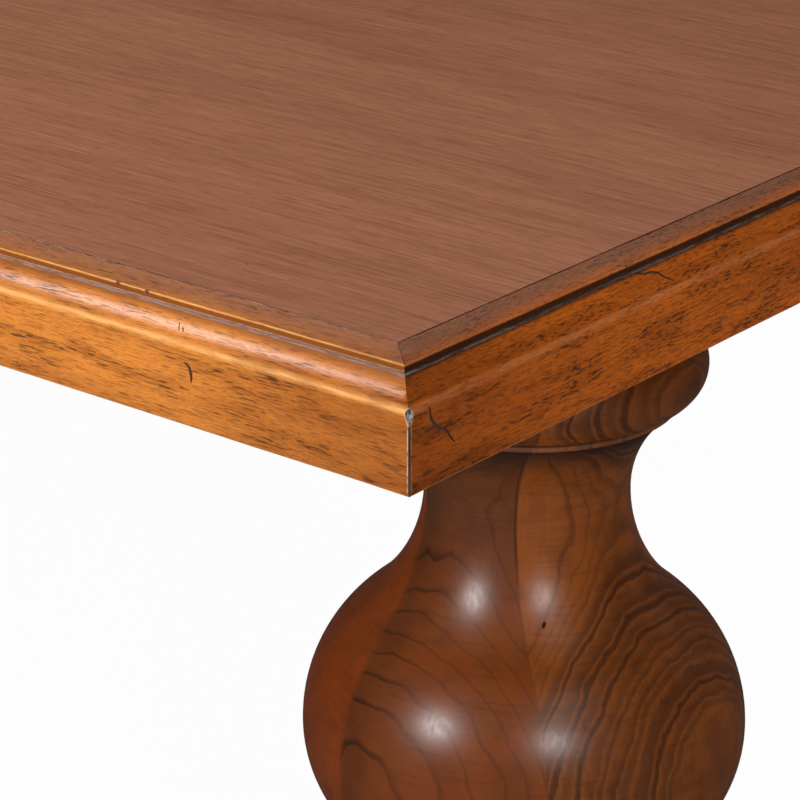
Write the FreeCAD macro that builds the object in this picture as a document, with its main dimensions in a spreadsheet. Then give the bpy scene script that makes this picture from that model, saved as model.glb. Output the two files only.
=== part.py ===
"""Double pedestal dining table with a framed top, an underframe and two turned pedestals on four legs each.

Millimetres. X runs along the table, Y across it and Z up. The origin is on the floor under the table's centre.
"""
import FreeCAD, Part
import math
import operator
import os
from types import SimpleNamespace

import Sketcher

SIZES = {
    # Whole table
    "table_height": 762.0,
    "top_length": 2134.0,
    "top_width": 1016.0,
    "pedestal_inset": 307.0,
    # Section of the edge moulding
    "moulding_width": 36.0,
    "moulding_depth": 58.0,
    "strip_width": 20.8,
    "step_drop": 3.6,
    "ledge_width": 2.2,
    "lower_face": 43.0,
    "hollow_radius": 20.0,
    "arris_round": 1.4,
    "strip_round": 0.8,
    "foot_round": 2.0,
    # Panel inside the moulding
    "core_depth": 32.0,
    "veneer_depth": 1.0,
    "tongue_depth": 8.0,
    "tongue_reach": 11.0,
    "spline_length": 24.0,
    "spline_width": 20.0,
    "spline_depth": 4.0,
    "spline_drop": 44.0,
    # Underframe
    "bearer_width": 60.0,
    "bearer_depth": 93.0,
    "bearer_length": 720.0,
    "bearer_offset": 110.0,
    "bearer_tip_depth": 40.0,
    "bearer_taper": 120.0,
    "rail_width": 40.0,
    "rail_depth": 70.0,
    "rail_spread": 440.0,
    "dowel_radius": 6.0,
    "dowel_length": 60.0,
    "dowel_pitch": 34.0,
    # Pedestal cap and its bolts
    "cap_width": 340.0,
    "cap_depth": 30.0,
    "cap_corner": 24.0,
    "cap_chamfer": 8.0,
    "bolt_spread": 260.0,
    "bolt_radius": 4.0,
    "bolt_grip": 34.0,
    "bolt_head_radius": 7.5,
    "bolt_head_depth": 5.3,
    "bolt_washer_radius": 9.0,
    "bolt_washer_depth": 1.6,
    "insert_radius": 6.0,
    "insert_depth": 25.0,
    # Turned column
    "crown_radius": 92.0,
    "collar_radius": 117.4,
    "collar_round": 23.0,
    "bead_radius": 100.0,
    "bead_round": 2.5,
    "neck_radius": 68.6,
    "belly_radius": 151.0,
    "list_radius": 104.0,
    "list_depth": 5.0,
    "list_step": 4.0,
    "base_round": 13.0,
    "spigot_radius": 30.0,
    "spigot_length": 32.0,
    "crown_spigot": 8.0,
    # Hub and legs
    "hub_flat": 100.0,
    "hub_depth": 112.0,
    "leg_thickness": 64.0,
    "leg_reach": 395.0,
    "leg_root": 60.0,
    "leg_shoulder": 8.0,
    "knee_height": 126.0,
    "ankle_height": 62.0,
    "toe_height": 34.0,
    "toe_base": 18.0,
    "leg_round": 9.0,
    "dovetail_depth": 24.0,
    "dovetail_neck": 26.0,
    "dovetail_tail": 38.0,
    "dovetail_height": 88.0,
    # Tie rod through the column
    "rod_radius": 6.0,
    "rod_nut_radius": 11.0,
    "rod_nut_depth": 10.0,
    "rod_washer_radius": 16.0,
    "rod_washer_depth": 3.0,
    "rod_spare": 3.0,
    "nut_well_radius": 20.0,
    "hub_well_depth": 24.0,
    "cap_well_depth": 18.0,
    # Steel spider under the legs
    "spider_depth": 5.0,
    "spider_hub_radius": 62.0,
    "spider_arm_width": 40.0,
    "spider_eye": 26.0,
    "spider_inner_screw": 48.0,
    # Screws
    "screw_radius": 2.5,
    "screw_head_radius": 5.0,
    "screw_head_depth": 3.2,
    "top_screw_length": 55.0,
    "top_screw_grip": 33.0,
    "plate_screw_length": 35.0,
    # Levelling glides
    "glide_gap": 10.0,
    "glide_radius": 22.0,
    "glide_disc": 6.0,
    "glide_chamfer": 2.0,
    "glide_collar_radius": 10.0,
    "stem_radius": 5.0,
    "stem_length": 38.0,
    "socket_radius": 9.0,
    "socket_length": 32.0,
    "socket_flange_radius": 13.0,
    "socket_flange_depth": 2.0,
    # Clearances
    "fit_gap": 0.15,
    "hole_gap": 0.5,
    "thread_gap": 0.05,
    "overrun": 5.0,
}

# Heights along the column as shares of its length, from its foot up.
CORNICE_SHARE = 0.945
COLLAR_SHARE = 0.872
NECK_SHARE = 0.667
BELLY_SHARE = 0.265
# Round of the column's belly above its widest line, as a share of its length.
BELLY_ROUND_SHARE = 0.2587
# Places along a leg as shares of the way from the hub's flat to its toe.
KNEE_SHARE = 0.356
ANKLE_SHARE = 0.7966
HEEL_SHARE = 0.695
ARCH_SHARE = 0.244
GLIDE_SHARE = 0.8305
SPIDER_SHARE = 0.21
SPIDER_SCREW_SHARE = 0.1356
# Places of the top screws along a bearer and along a rail, as shares of half its length.
BEARER_SCREW_SHARES = (-0.78, 0.0, 0.78)
RAIL_SCREW_SHARES = (-0.8, -0.27, 0.27, 0.8)

# Shape of the screws.
SCREW_CROWN_SHARE = 0.7
SCREW_SHANK_SHARE = 0.85
DIAGONAL_SHARE = math.sqrt(0.5)

# Turn of each leg of the right pedestal about its column, as a share of a full turn.
LEG_TURN_SHARES = {"outer_front": -0.125, "outer_back": 0.125, "inner_back": 0.375, "inner_front": -0.375}
FULL_TURN = math.degrees(2 * math.pi)
OPERATIONS = {"+": operator.add, "-": operator.sub, "*": operator.mul, "/": operator.truediv}


class Size:
    """A length or ratio that carries the sheet formula it comes from."""

    def __init__(self, value, text):
        self.value = value
        self.text = text

    def __add__(self, other):
        return joined(self, "+", other)

    def __radd__(self, other):
        return joined(other, "+", self)

    def __sub__(self, other):
        return joined(self, "-", other)

    def __rsub__(self, other):
        return joined(other, "-", self)

    def __mul__(self, other):
        return joined(self, "*", other)

    def __rmul__(self, other):
        return joined(other, "*", self)

    def __truediv__(self, other):
        return joined(self, "/", other)

    def __neg__(self):
        return joined(-1, "*", self)


def sized(item):
    """Return the item as a Size; a plain number is a ratio or zero."""
    if isinstance(item, Size):
        return item
    return Size(float(item), str(float(item)))


def joined(left, sign, right):
    """Return the Size of a sum, difference, product or quotient."""
    first = sized(left)
    second = sized(right)
    return Size(OPERATIONS[sign](first.value, second.value), f"({first.text} {sign} {second.text})")


def root(item):
    """Return the square root of a Size."""
    return Size(math.sqrt(item.value), f"sqrt({item.text})")


def fill_sheet(doc):
    """Write the driving sizes into a spreadsheet and return them as named Sizes."""
    sheet = doc.addObject("Spreadsheet::Sheet", "Sizes")
    for row, (alias, value) in enumerate(SIZES.items(), 1):
        sheet.set(f"A{row}", alias)
        sheet.set(f"B{row}", str(value))
        sheet.setAlias(f"B{row}", alias)
    doc.recompute()
    return SimpleNamespace(**{alias: Size(value, "Sizes." + alias) for alias, value in SIZES.items()})


doc = FreeCAD.newDocument("DiningTable")
d = fill_sheet(doc)
NODES = []
FIT = d.thread_gap.value


def bind(item, **sizes):
    """Bind properties of a document object to sheet formulas."""
    for name, size in sizes.items():
        item.setExpression(name, sized(size).text)


def set_out(master, label, across=0, deep=0, up=0, turn=0.0):
    """Set a copy of a master piece at a place worked out from the sheet, turned about Z by degrees."""
    copy = doc.addObject("App::Link", label)
    copy.LinkedObject = master
    copy.Placement = FreeCAD.Placement(FreeCAD.Vector(), FreeCAD.Rotation(FreeCAD.Vector(0, 0, 1), turn))
    for axis, size in zip("xyz", (across, deep, up)):
        copy.setExpression(f".Placement.Base.{axis}", sized(size).text)
    return copy


def bundle(label, spots):
    """Hold copies of masters as one object; each spot is a master, its place and its turn."""
    held = doc.addObject("Part::Compound", label)
    held.Links = [set_out(spot[0], f"{label}_{number}", *spot[1:]) for number, spot in enumerate(spots, 1)]
    return held


def cut(label, base, tool):
    """Cut one object out of another."""
    result = doc.addObject("Part::Cut", label)
    result.Base = base
    result.Tool = tool
    return result


def node(item):
    """Keep an object as one named piece of the table."""
    NODES.append(item)
    return item


def new_sketch(body, plane, level=0):
    """A sketch on one of the body's own planes, raised to a level."""
    sketch = body.newObject("Sketcher::SketchObject", f"{body.Name}_sketch")
    face = next(item for item in body.Origin.OriginFeatures if item.Role == plane)
    sketch.AttachmentSupport = [(face, "")]
    sketch.MapMode = "FlatFace"
    sketch.setExpression(".AttachmentOffset.Base.z", sized(level).text)
    return sketch


def dimension(sketch, kind, geometry, point, size):
    """Fix a point's distance from the sketch's origin by a sheet formula."""
    index = sketch.addConstraint(Sketcher.Constraint(kind, -1, 1, geometry, point, size.value))
    sketch.setExpression(f"Constraints[{index}]", size.text)


def set_radius(sketch, geometry, size):
    """Fix the radius of an arc or circle by a sheet formula."""
    index = sketch.addConstraint(Sketcher.Constraint("Radius", geometry, size.value))
    sketch.setExpression(f"Constraints[{index}]", size.text)


def arc_between(start, end, radius, side):
    """The short arc between two points; its centre is left of the way for side 1 and right for -1."""
    chord = end - start
    rise = math.sqrt(max(radius ** 2 - (chord.Length / 2) ** 2, 0.0))
    left = FreeCAD.Vector(-chord.y, chord.x, 0).normalize()
    centre = (start + end) / 2 + left * rise * side
    first, last = (start, end) if side > 0 else (end, start)
    angles = [math.atan2(point.y - centre.y, point.x - centre.x) for point in (first, last)]
    return Part.ArcOfCircle(Part.Circle(centre, FreeCAD.Vector(0, 0, 1), radius), *angles)


def outline(sketch, corners, arcs=None):
    """Draw a closed outline.

    Each corner is a pair of Sizes. arcs gives, for the stretch that starts at a corner, its radius and the
    side of the way on which its centre lies.
    """
    arcs = arcs or {}
    corners = [(sized(across), sized(up)) for across, up in corners]
    points = [FreeCAD.Vector(across.value, up.value, 0) for across, up in corners]
    base = sketch.GeometryCount
    starts = []
    for number, start in enumerate(points):
        end = points[(number + 1) % len(points)]
        radius, side = arcs.get(number, (None, 1))
        stretch = Part.LineSegment(start, end)
        if radius is not None:
            stretch = arc_between(start, end, radius.value, side)
        sketch.addGeometry(stretch, False)
        starts.append(1 if side > 0 else 2)
    for number, start in enumerate(starts):
        following = (number + 1) % len(points)
        ends = (base + number, 3 - start, base + following, starts[following])
        sketch.addConstraint(Sketcher.Constraint("Coincident", *ends))
    for number, (across, up) in enumerate(corners):
        dimension(sketch, "DistanceX", base + number, starts[number], across)
        dimension(sketch, "DistanceY", base + number, starts[number], up)
    for number, (radius, _) in arcs.items():
        set_radius(sketch, base + number, radius)


def circles(sketch, spots, radius):
    """Draw equal circles at the given spots."""
    for across, up in spots:
        across, up = sized(across), sized(up)
        centre = FreeCAD.Vector(across.value, up.value, 0)
        circle = sketch.addGeometry(Part.Circle(centre, FreeCAD.Vector(0, 0, 1), radius.value), False)
        dimension(sketch, "DistanceX", circle, 3, across)
        dimension(sketch, "DistanceY", circle, 3, up)
        set_radius(sketch, circle, radius)


def new_body(label):
    """An empty body at the origin."""
    return doc.addObject("PartDesign::Body", label)


def pad(body, sketch, length, both_ways=False):
    """Raise a sketch into a solid."""
    feature = body.newObject("PartDesign::Pad", f"{body.Name}_pad")
    feature.Profile = sketch
    feature.Midplane = both_ways
    bind(feature, Length=length)
    return feature


def pocket(body, sketch, length, up=False, both_ways=False):
    """Cut a sketch out of the body, down from the sketch or up from it."""
    doc.recompute()
    before = body.Shape.Volume
    feature = body.newObject("PartDesign::Pocket", f"{body.Name}_pocket")
    feature.Profile = sketch
    feature.Reversed = up
    feature.Midplane = both_ways
    bind(feature, Length=length)
    doc.recompute()
    if not body.Shape.Volume < before:
        raise RuntimeError(f"{body.Label}: a pocket cut nothing")
    return feature


def drill(body, spots, radius, depth, level, up=False):
    """Drill equal round holes from a level."""
    sketch = new_sketch(body, "XY_Plane", level)
    circles(sketch, spots, radius)
    return pocket(body, sketch, depth, up)


def dress_edges(body, kind, chosen, **sizes):
    """Round or chamfer the edges that the test picks by their ends and middle."""
    doc.recompute()
    names = []
    for number, edge in enumerate(body.Shape.Edges, 1):
        middle = edge.valueAt((edge.FirstParameter + edge.LastParameter) / 2)
        if chosen([vertex.Point for vertex in edge.Vertexes], middle):
            names.append(f"Edge{number}")
    base = body.Tip
    feature = body.newObject(f"PartDesign::{kind}", f"{body.Name}_{kind.lower()}")
    feature.Base = (base, names)
    bind(feature, **sizes)
    return feature


def at(value, size):
    """Tell whether a measured place is at a size."""
    return abs(value - sized(size).value) < FIT


def plank(label, length, width, depth):
    """A rectangular piece centred on its length and width, standing on Z 0."""
    body = new_body(label)
    sketch = new_sketch(body, "XY_Plane")
    end, edge = length / 2, width / 2
    outline(sketch, [(-end, -edge), (end, -edge), (end, edge), (-end, edge)])
    pad(body, sketch, depth)
    return body


def dowel(label, radius, length):
    """A round bar along X, centred on its length."""
    body = new_body(label)
    sketch = new_sketch(body, "YZ_Plane")
    circles(sketch, [(0, 0)], radius)
    pad(body, sketch, length, both_ways=True)
    return body


def turned(label, corners, arcs=None):
    """A body turned about Z from an outline of radius and height."""
    body = new_body(label)
    sketch = new_sketch(body, "XZ_Plane")
    outline(sketch, corners, arcs)
    feature = body.newObject("PartDesign::Revolution", f"{label}_turning")
    feature.Profile = sketch
    feature.ReferenceAxis = (sketch, ["V_Axis"])
    feature.Angle = 360.0
    return body


def collar(label, inner, outer, depth):
    """A plain turned ring or sleeve standing on Z 0."""
    return turned(label, [(inner, 0), (outer, 0), (outer, depth), (inner, depth)])


def bar(label, radius, length):
    """A plain round bar standing on Z 0."""
    return collar(label, sized(0), radius, length)


def screw(label, length):
    """A wood screw with its head standing on Z 0; length is measured under the head."""
    neck = d.screw_head_depth
    tip = neck + length
    corners = [
        (0, 0),
        (d.screw_head_radius * SCREW_CROWN_SHARE, 0),
        (d.screw_head_radius, neck / 2),
        (d.screw_head_radius, neck),
        (d.screw_radius, neck),
        (d.screw_radius, neck + length * SCREW_SHANK_SHARE),
        (0, tip),
    ]
    return turned(label, corners)


def hexagon(label, radius, depth):
    """A hexagonal bar standing on Z 0."""
    body = new_body(label)
    sketch = new_sketch(body, "XY_Plane")
    angles = [math.pi / 3 * corner for corner in range(6)]
    outline(sketch, [(radius * math.cos(angle), radius * math.sin(angle)) for angle in angles])
    pad(body, sketch, depth)
    return body


# Heights and places that several pieces share.
core_top = d.table_height - d.veneer_depth
core_base = core_top - d.core_depth
underside = core_base - d.veneer_depth
bearer_base = underside - d.bearer_depth
cap_base = bearer_base - d.cap_depth
hub_top = d.leg_root + d.hub_depth
column_length = cap_base - hub_top
pedestal_across = d.top_length / 2 - d.pedestal_inset
half_length = d.top_length / 2
half_width = d.top_width / 2
panel_length = d.top_length - 2 * d.moulding_width
panel_width = d.top_width - 2 * d.moulding_width
tongue_base = core_base + (d.core_depth - d.tongue_depth) / 2
groove_depth = d.tongue_depth + 2 * d.fit_gap
groove_reach = d.tongue_reach + d.fit_gap
rail_length = 2 * (pedestal_across - d.bearer_offset) - d.bearer_width
leg_span = d.leg_reach - d.hub_flat
knee_reach = d.hub_flat + leg_span * KNEE_SHARE
ankle_reach = d.hub_flat + leg_span * ANKLE_SHARE
heel_reach = d.hub_flat + leg_span * HEEL_SHARE
arch_reach = d.hub_flat + leg_span * ARCH_SHARE
glide_reach = d.hub_flat + leg_span * GLIDE_SHARE
spider_reach = d.hub_flat + leg_span * SPIDER_SHARE
spider_outer_screw = d.hub_flat + leg_span * SPIDER_SCREW_SHARE
screw_hole = d.screw_radius + d.hole_gap
head_hole = d.screw_head_radius + d.hole_gap
pilot_hole = d.screw_radius + d.thread_gap
rod_hole = d.rod_radius + d.hole_gap
bolt_hole = d.bolt_radius + d.hole_gap
SIDES = {"right": 1, "left": -1}
QUARTERS = ((1, 0), (0, 1), (-1, 0), (0, -1))


def leg_places():
    """Name, pedestal place and turn of each leg."""
    for side, sign in SIDES.items():
        for corner, share in LEG_TURN_SHARES.items():
            turn = share if sign > 0 else 0.5 - share
            yield f"{side}_{corner}", sign * pedestal_across, turn * FULL_TURN


def bearer_places():
    """Name, place along the table and turn of each bearer."""
    for side, sign in SIDES.items():
        for corner, step in (("outer", 1), ("inner", -1)):
            across = sign * (pedestal_across + step * d.bearer_offset)
            yield f"{side}_{corner}_bearer", across, 0.0 if sign > 0 else 180.0


def top_screw_places():
    """Place of each screw that holds the underframe to the top."""
    for _, across, _ in bearer_places():
        for share in BEARER_SCREW_SHARES:
            yield across, share * d.bearer_length / 2
    for sign in SIDES.values():
        for share in RAIL_SCREW_SHARES:
            yield share * rail_length / 2, sign * d.rail_spread / 2


def moulding(label, length):
    """One side of the top's frame: moulded, mitred at both ends, grooved for its tongue and splines.

    Its length runs along X, its outer face is at Y 0 and its top at Z 0.
    """
    body = new_body(label)
    inset = d.moulding_width - d.strip_width
    arris = d.lower_face - d.moulding_depth
    groove_top = tongue_base + d.tongue_depth + d.fit_gap - d.table_height
    groove_wall = d.moulding_width - groove_reach
    section = new_sketch(body, "YZ_Plane")
    corners = [
        (d.moulding_width, 0),
        (inset, 0),
        (inset, -d.step_drop),
        (inset - d.ledge_width, -d.step_drop),
        (0, arris),
        (0, d.foot_round - d.moulding_depth),
        (d.foot_round, -d.moulding_depth),
        (d.moulding_width, -d.moulding_depth),
        (d.moulding_width, groove_top - groove_depth),
        (groove_wall, groove_top - groove_depth),
        (groove_wall, groove_top),
        (d.moulding_width, groove_top),
    ]
    outline(section, corners, {3: (d.hollow_radius, -1), 5: (d.foot_round, 1)})
    pad(body, section, length, both_ways=True)
    for place, level, size in ((0, arris, d.arris_round), (inset, 0, d.strip_round)):
        dress_edges(body, "Fillet", lambda ends, middle: (
            at(middle.x, 0) and at(middle.y, place) and at(middle.z, level)), Radius=size)
    mitres = new_sketch(body, "XY_Plane")
    slots = new_sketch(body, "XY_Plane", d.fit_gap - d.spline_drop)
    along = (d.spline_length / 2 + d.fit_gap) * DIAGONAL_SHARE
    beside = (d.spline_width / 2 + d.fit_gap) * DIAGONAL_SHARE
    tip = length / 2
    reach = d.moulding_width + d.overrun
    middle = d.moulding_width / 2
    waste = [(tip + d.overrun, -d.overrun), (tip + d.overrun, reach), (tip - reach, reach)]
    slot = [
        (beside - along, along + beside),
        (-along - beside, along - beside),
        (along - beside, -along - beside),
        (along + beside, beside - along),
    ]
    for sign in SIDES.values():
        outline(mitres, [(sign * across, deep) for across, deep in waste])
        outline(slots, [(sign * (tip - middle + across), middle + deep) for across, deep in slot])
    pocket(body, mitres, 2 * (d.moulding_depth + d.overrun), both_ways=True)
    pocket(body, slots, d.spline_depth + 2 * d.fit_gap)
    return body


def build_frame():
    """The four mitred mouldings with their tongues and corner splines."""
    long_moulding = moulding("long_moulding", d.top_length)
    end_moulding = moulding("end_moulding", d.top_width)
    sides = [
        ("front_moulding", long_moulding, 0, -half_width, 0.0),
        ("right_moulding", end_moulding, half_length, 0, 90.0),
        ("back_moulding", long_moulding, 0, half_width, 180.0),
        ("left_moulding", end_moulding, -half_length, 0, 270.0),
    ]
    for label, master, across, deep, turn in sides:
        node(set_out(master, label, across, deep, d.table_height, turn))
    long_tongue = plank("long_tongue", panel_length, 2 * d.tongue_reach, d.tongue_depth)
    end_tongue = plank("end_tongue", 2 * d.tongue_reach, panel_width - 2 * d.tongue_reach, d.tongue_depth)
    spline = plank("mitre_spline", d.spline_length, d.spline_width, d.spline_depth)
    spline_base = d.table_height - d.spline_drop - d.spline_depth
    middle = d.moulding_width / 2
    tongues = []
    splines = []
    for sign in SIDES.values():
        tongues.append((long_tongue, 0, sign * panel_width / 2, tongue_base))
        tongues.append((end_tongue, sign * panel_length / 2, 0, tongue_base))
        for other in SIDES.values():
            corner = (sign * (half_length - middle), other * (half_width - middle))
            splines.append((spline, *corner, spline_base, 45.0 * sign * other))
    node(bundle("edge_tongues", tongues))
    node(bundle("mitre_splines", splines))


def build_panel():
    """The core with its face and backing veneers, grooved and piloted."""
    long_groove = plank("long_groove", panel_length + d.overrun, 2 * groove_reach, groove_depth)
    end_groove = plank("end_groove", 2 * groove_reach, panel_width + d.overrun, groove_depth)
    grooves = []
    for sign in SIDES.values():
        grooves.append((long_groove, 0, sign * panel_width / 2, tongue_base - d.fit_gap))
        grooves.append((end_groove, sign * panel_length / 2, 0, tongue_base - d.fit_gap))
    pilot = bar("pilot", pilot_hole, d.top_screw_length - d.top_screw_grip + d.hole_gap)
    pilots = bundle("pilots", [(pilot, across, deep, underside) for across, deep in top_screw_places()])
    blank = plank("core_blank", panel_length, panel_width, d.core_depth)
    grooved = cut("grooved_core", set_out(blank, "core_panel", up=core_base), bundle("core_grooves", grooves))
    node(cut("top_core", grooved, pilots))
    sheet = plank("veneer_sheet", panel_length, panel_width, d.veneer_depth)
    node(set_out(sheet, "field_veneer", up=core_top))
    node(cut("backing_veneer", set_out(sheet, "backing_sheet", up=underside), pilots))


def bearer_body():
    """A cross bearer with tapered ends, drilled for the top's screws and the cap's inserts; stands on Z 0."""
    body = new_body("outer_bearer")
    section = new_sketch(body, "YZ_Plane")
    end = d.bearer_length / 2
    tip = d.bearer_depth - d.bearer_tip_depth
    shoulder = end - d.bearer_taper
    outline(section, [
        (-end, d.bearer_depth),
        (-end, tip),
        (-shoulder, 0),
        (shoulder, 0),
        (end, tip),
        (end, d.bearer_depth),
    ])
    pad(body, section, d.bearer_width, both_ways=True)
    screws = [(0, share * d.bearer_length / 2) for share in BEARER_SCREW_SHARES]
    bolts = [(0, sign * d.bolt_spread / 2) for sign in SIDES.values()]
    drill(body, screws, screw_hole, d.top_screw_grip + d.overrun, d.bearer_depth)
    drill(body, screws, head_hole, d.bearer_depth - d.top_screw_grip, 0, up=True)
    drill(body, bolts, d.insert_radius + d.thread_gap, d.insert_depth, 0, up=True)
    drill(body, bolts, bolt_hole, d.bolt_grip + d.overrun, 0, up=True)
    return body


def build_underframe():
    """Cross bearers and long rails with their dowels and the screws into the top."""
    outer = bearer_body()
    hole = dowel("dowel_hole", d.dowel_radius + d.thread_gap, d.dowel_length + 2 * d.hole_gap)
    peg = dowel("dowel", d.dowel_radius, d.dowel_length)
    rail_middle = d.rail_depth / 2
    heights = [rail_middle + sign * d.dowel_pitch / 2 for sign in SIDES.values()]
    rise = d.bearer_depth - d.rail_depth
    bearer_holes = []
    rail_holes = []
    pegs = []
    for sign in SIDES.values():
        for height in heights:
            bearer_holes.append((hole, -d.bearer_width / 2, sign * d.rail_spread / 2, rise + height))
            rail_holes.append((hole, sign * rail_length / 2, 0, height))
            for other in SIDES.values():
                place = (sign * rail_length / 2, other * d.rail_spread / 2)
                pegs.append((peg, *place, underside - d.rail_depth + height))
    inner_blank = set_out(outer, "inner_bearer_blank")
    inner = cut("inner_bearer", inner_blank, bundle("bearer_dowel_holes", bearer_holes))
    for label, across, turn in bearer_places():
        node(set_out(inner if "inner" in label else outer, label, across, 0, bearer_base, turn))
    rail_body = plank("rail_blank", rail_length, d.rail_width, d.rail_depth)
    screws = [(share * rail_length / 2, 0) for share in RAIL_SCREW_SHARES]
    drill(rail_body, screws, screw_hole, d.top_screw_grip + d.overrun, d.rail_depth)
    drill(rail_body, screws, head_hole, d.rail_depth - d.top_screw_grip, 0, up=True)
    rail = cut("rail", rail_body, bundle("rail_dowel_holes", rail_holes))
    for label, sign in (("front_rail", -1), ("back_rail", 1)):
        node(set_out(rail, label, 0, sign * d.rail_spread / 2, underside - d.rail_depth))
    node(bundle("rail_dowels", pegs))
    top_screw = screw("top_screw", d.top_screw_length)
    seat = underside - d.top_screw_grip - d.screw_head_depth
    node(bundle("top_screws", [(top_screw, across, deep, seat) for across, deep in top_screw_places()]))


def cap_body():
    """The square cap under the bearers, drilled for its bolts, the tie rod and the column's spigot."""
    body = plank("cap", d.cap_width, d.cap_width, d.cap_depth)
    middle = d.cap_depth / 2
    dress_edges(body, "Fillet", lambda ends, centre: (
        at(centre.z, middle) and at(abs(centre.x), d.cap_width / 2)), Radius=d.cap_corner)
    dress_edges(body, "Chamfer", lambda ends, centre: at(centre.z, 0), Size=d.cap_chamfer)
    bolts = [(x * d.bearer_offset, y * d.bolt_spread / 2) for x in SIDES.values() for y in SIDES.values()]
    drill(body, bolts, bolt_hole, d.cap_depth + d.overrun, d.cap_depth)
    drill(body, [(0, 0)], d.nut_well_radius, d.cap_well_depth, d.cap_depth)
    drill(body, [(0, 0)], d.spigot_radius + d.fit_gap, d.crown_spigot + d.fit_gap, 0, up=True)
    drill(body, [(0, 0)], rod_hole, d.cap_depth + d.overrun, d.cap_depth)
    return body


def column_body():
    """The turned vase column with its collar, bead, neck, belly and base ring, bored for the tie rod."""
    base_top = 2 * d.base_round
    list_top = base_top + d.list_depth
    belly_up = column_length * BELLY_SHARE
    neck_up = column_length * NECK_SHARE
    collar_up = column_length * COLLAR_SHARE
    cornice_up = column_length * CORNICE_SHARE
    belly_round = column_length * BELLY_ROUND_SHARE
    belly_axis = d.belly_radius - belly_round
    # Below its widest line the belly draws in to the list.
    seat_radius = d.list_radius - d.list_step
    seat_step = d.belly_radius - seat_radius
    seat_fall = belly_up - list_top
    seat_round = (seat_step * seat_step + seat_fall * seat_fall) / (2 * seat_step)
    # The neck's hollow is tangent to the belly's round.
    fall = neck_up - belly_up
    waist = d.neck_radius - belly_axis
    neck_round = (waist * waist + fall * fall - belly_round * belly_round) / (2 * (belly_round - waist))
    meet = belly_round / (belly_round + neck_round)
    meet_radius = belly_axis + (waist + neck_round) * meet
    meet_up = belly_up + fall * meet
    bead_inner = d.bead_radius - d.bead_round
    collar_axis = d.collar_radius - d.collar_round
    step = bead_inner - collar_axis
    bead_top = collar_up - root(d.collar_round * d.collar_round - step * step)
    bead_base = bead_top - 2 * d.bead_round
    flare = bead_inner - d.neck_radius
    rise = bead_base - neck_up
    cove_round = (flare * flare + rise * rise) / (2 * flare)
    crown_flare = d.list_radius - d.crown_radius
    crown_rise = column_length - d.list_depth - cornice_up
    crown_round = (crown_flare * crown_flare + crown_rise * crown_rise) / (2 * crown_flare)
    corners = [
        (rod_hole, -d.spigot_length),
        (d.spigot_radius, -d.spigot_length),
        (d.spigot_radius, 0),
        (d.list_radius, 0),
        (d.list_radius + d.base_round, d.base_round),
        (d.list_radius, base_top),
        (d.list_radius, list_top),
        (seat_radius, list_top),
        (d.belly_radius, belly_up),
        (meet_radius, meet_up),
        (d.neck_radius, neck_up),
        (bead_inner, bead_base),
        (d.bead_radius, bead_base + d.bead_round),
        (bead_inner, bead_top),
        (d.collar_radius, collar_up),
        (collar_axis, collar_up + d.collar_round),
        (d.crown_radius, collar_up + d.collar_round),
        (d.crown_radius, cornice_up),
        (d.list_radius, column_length - d.list_depth),
        (d.list_radius, column_length),
        (d.spigot_radius, column_length),
        (d.spigot_radius, column_length + d.crown_spigot),
        (rod_hole, column_length + d.crown_spigot),
    ]
    arcs = {
        3: (d.base_round, 1),
        4: (d.base_round, 1),
        7: (seat_round, 1),
        8: (belly_round, 1),
        9: (neck_round, -1),
        10: (cove_round, -1),
        11: (d.bead_round, 1),
        12: (d.bead_round, 1),
        13: (d.collar_round, 1),
        14: (d.collar_round, 1),
        17: (crown_round, -1),
    }
    return turned("column", corners, arcs)


def dovetail(gap):
    """Outline of a leg's dovetail at the hub's flat, grown by a gap all round."""
    neck = d.dovetail_neck / 2 + gap
    tail = d.dovetail_tail / 2 + gap
    depth = d.hub_flat - d.dovetail_depth - gap
    return [(d.hub_flat, -neck), (d.hub_flat, neck), (depth, tail), (depth, -tail)]


def hub_body():
    """The eight-sided hub with a dovetail slot for each leg, a socket for the column and a nut well."""
    body = new_body("hub")
    plan = new_sketch(body, "XY_Plane")
    half_side = d.hub_flat * math.tan(math.pi / 8)
    corners = []
    for across, deep in QUARTERS:
        for step in (-half_side, half_side):
            corners.append((across * d.hub_flat - deep * step, deep * d.hub_flat + across * step))
    outline(plan, corners)
    pad(body, plan, d.hub_depth)
    drill(body, [(0, 0)], d.spigot_radius + d.fit_gap, d.spigot_length + d.hole_gap, d.hub_depth)
    drill(body, [(0, 0)], d.nut_well_radius, d.hub_well_depth, 0, up=True)
    drill(body, [(0, 0)], rod_hole, d.hub_depth + d.overrun, d.hub_depth)
    pilots = [(across * d.spider_inner_screw, deep * d.spider_inner_screw) for across, deep in QUARTERS]
    drill(body, pilots, pilot_hole, d.plate_screw_length - d.spider_depth + d.hole_gap, 0, up=True)
    slot = new_sketch(body, "XY_Plane")
    outline(slot, dovetail(d.fit_gap))
    first_slot = pocket(body, slot, d.dovetail_height + d.fit_gap, up=True)
    slots = body.newObject("PartDesign::PolarPattern", "hub_slots")
    slots.Originals = [first_slot]
    slots.Axis = (next(item for item in body.Origin.OriginFeatures if item.Role == "Z_Axis"), [""])
    slots.Angle = 360.0
    slots.Occurrences = len(QUARTERS)
    body.Tip = slots
    return body


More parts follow.
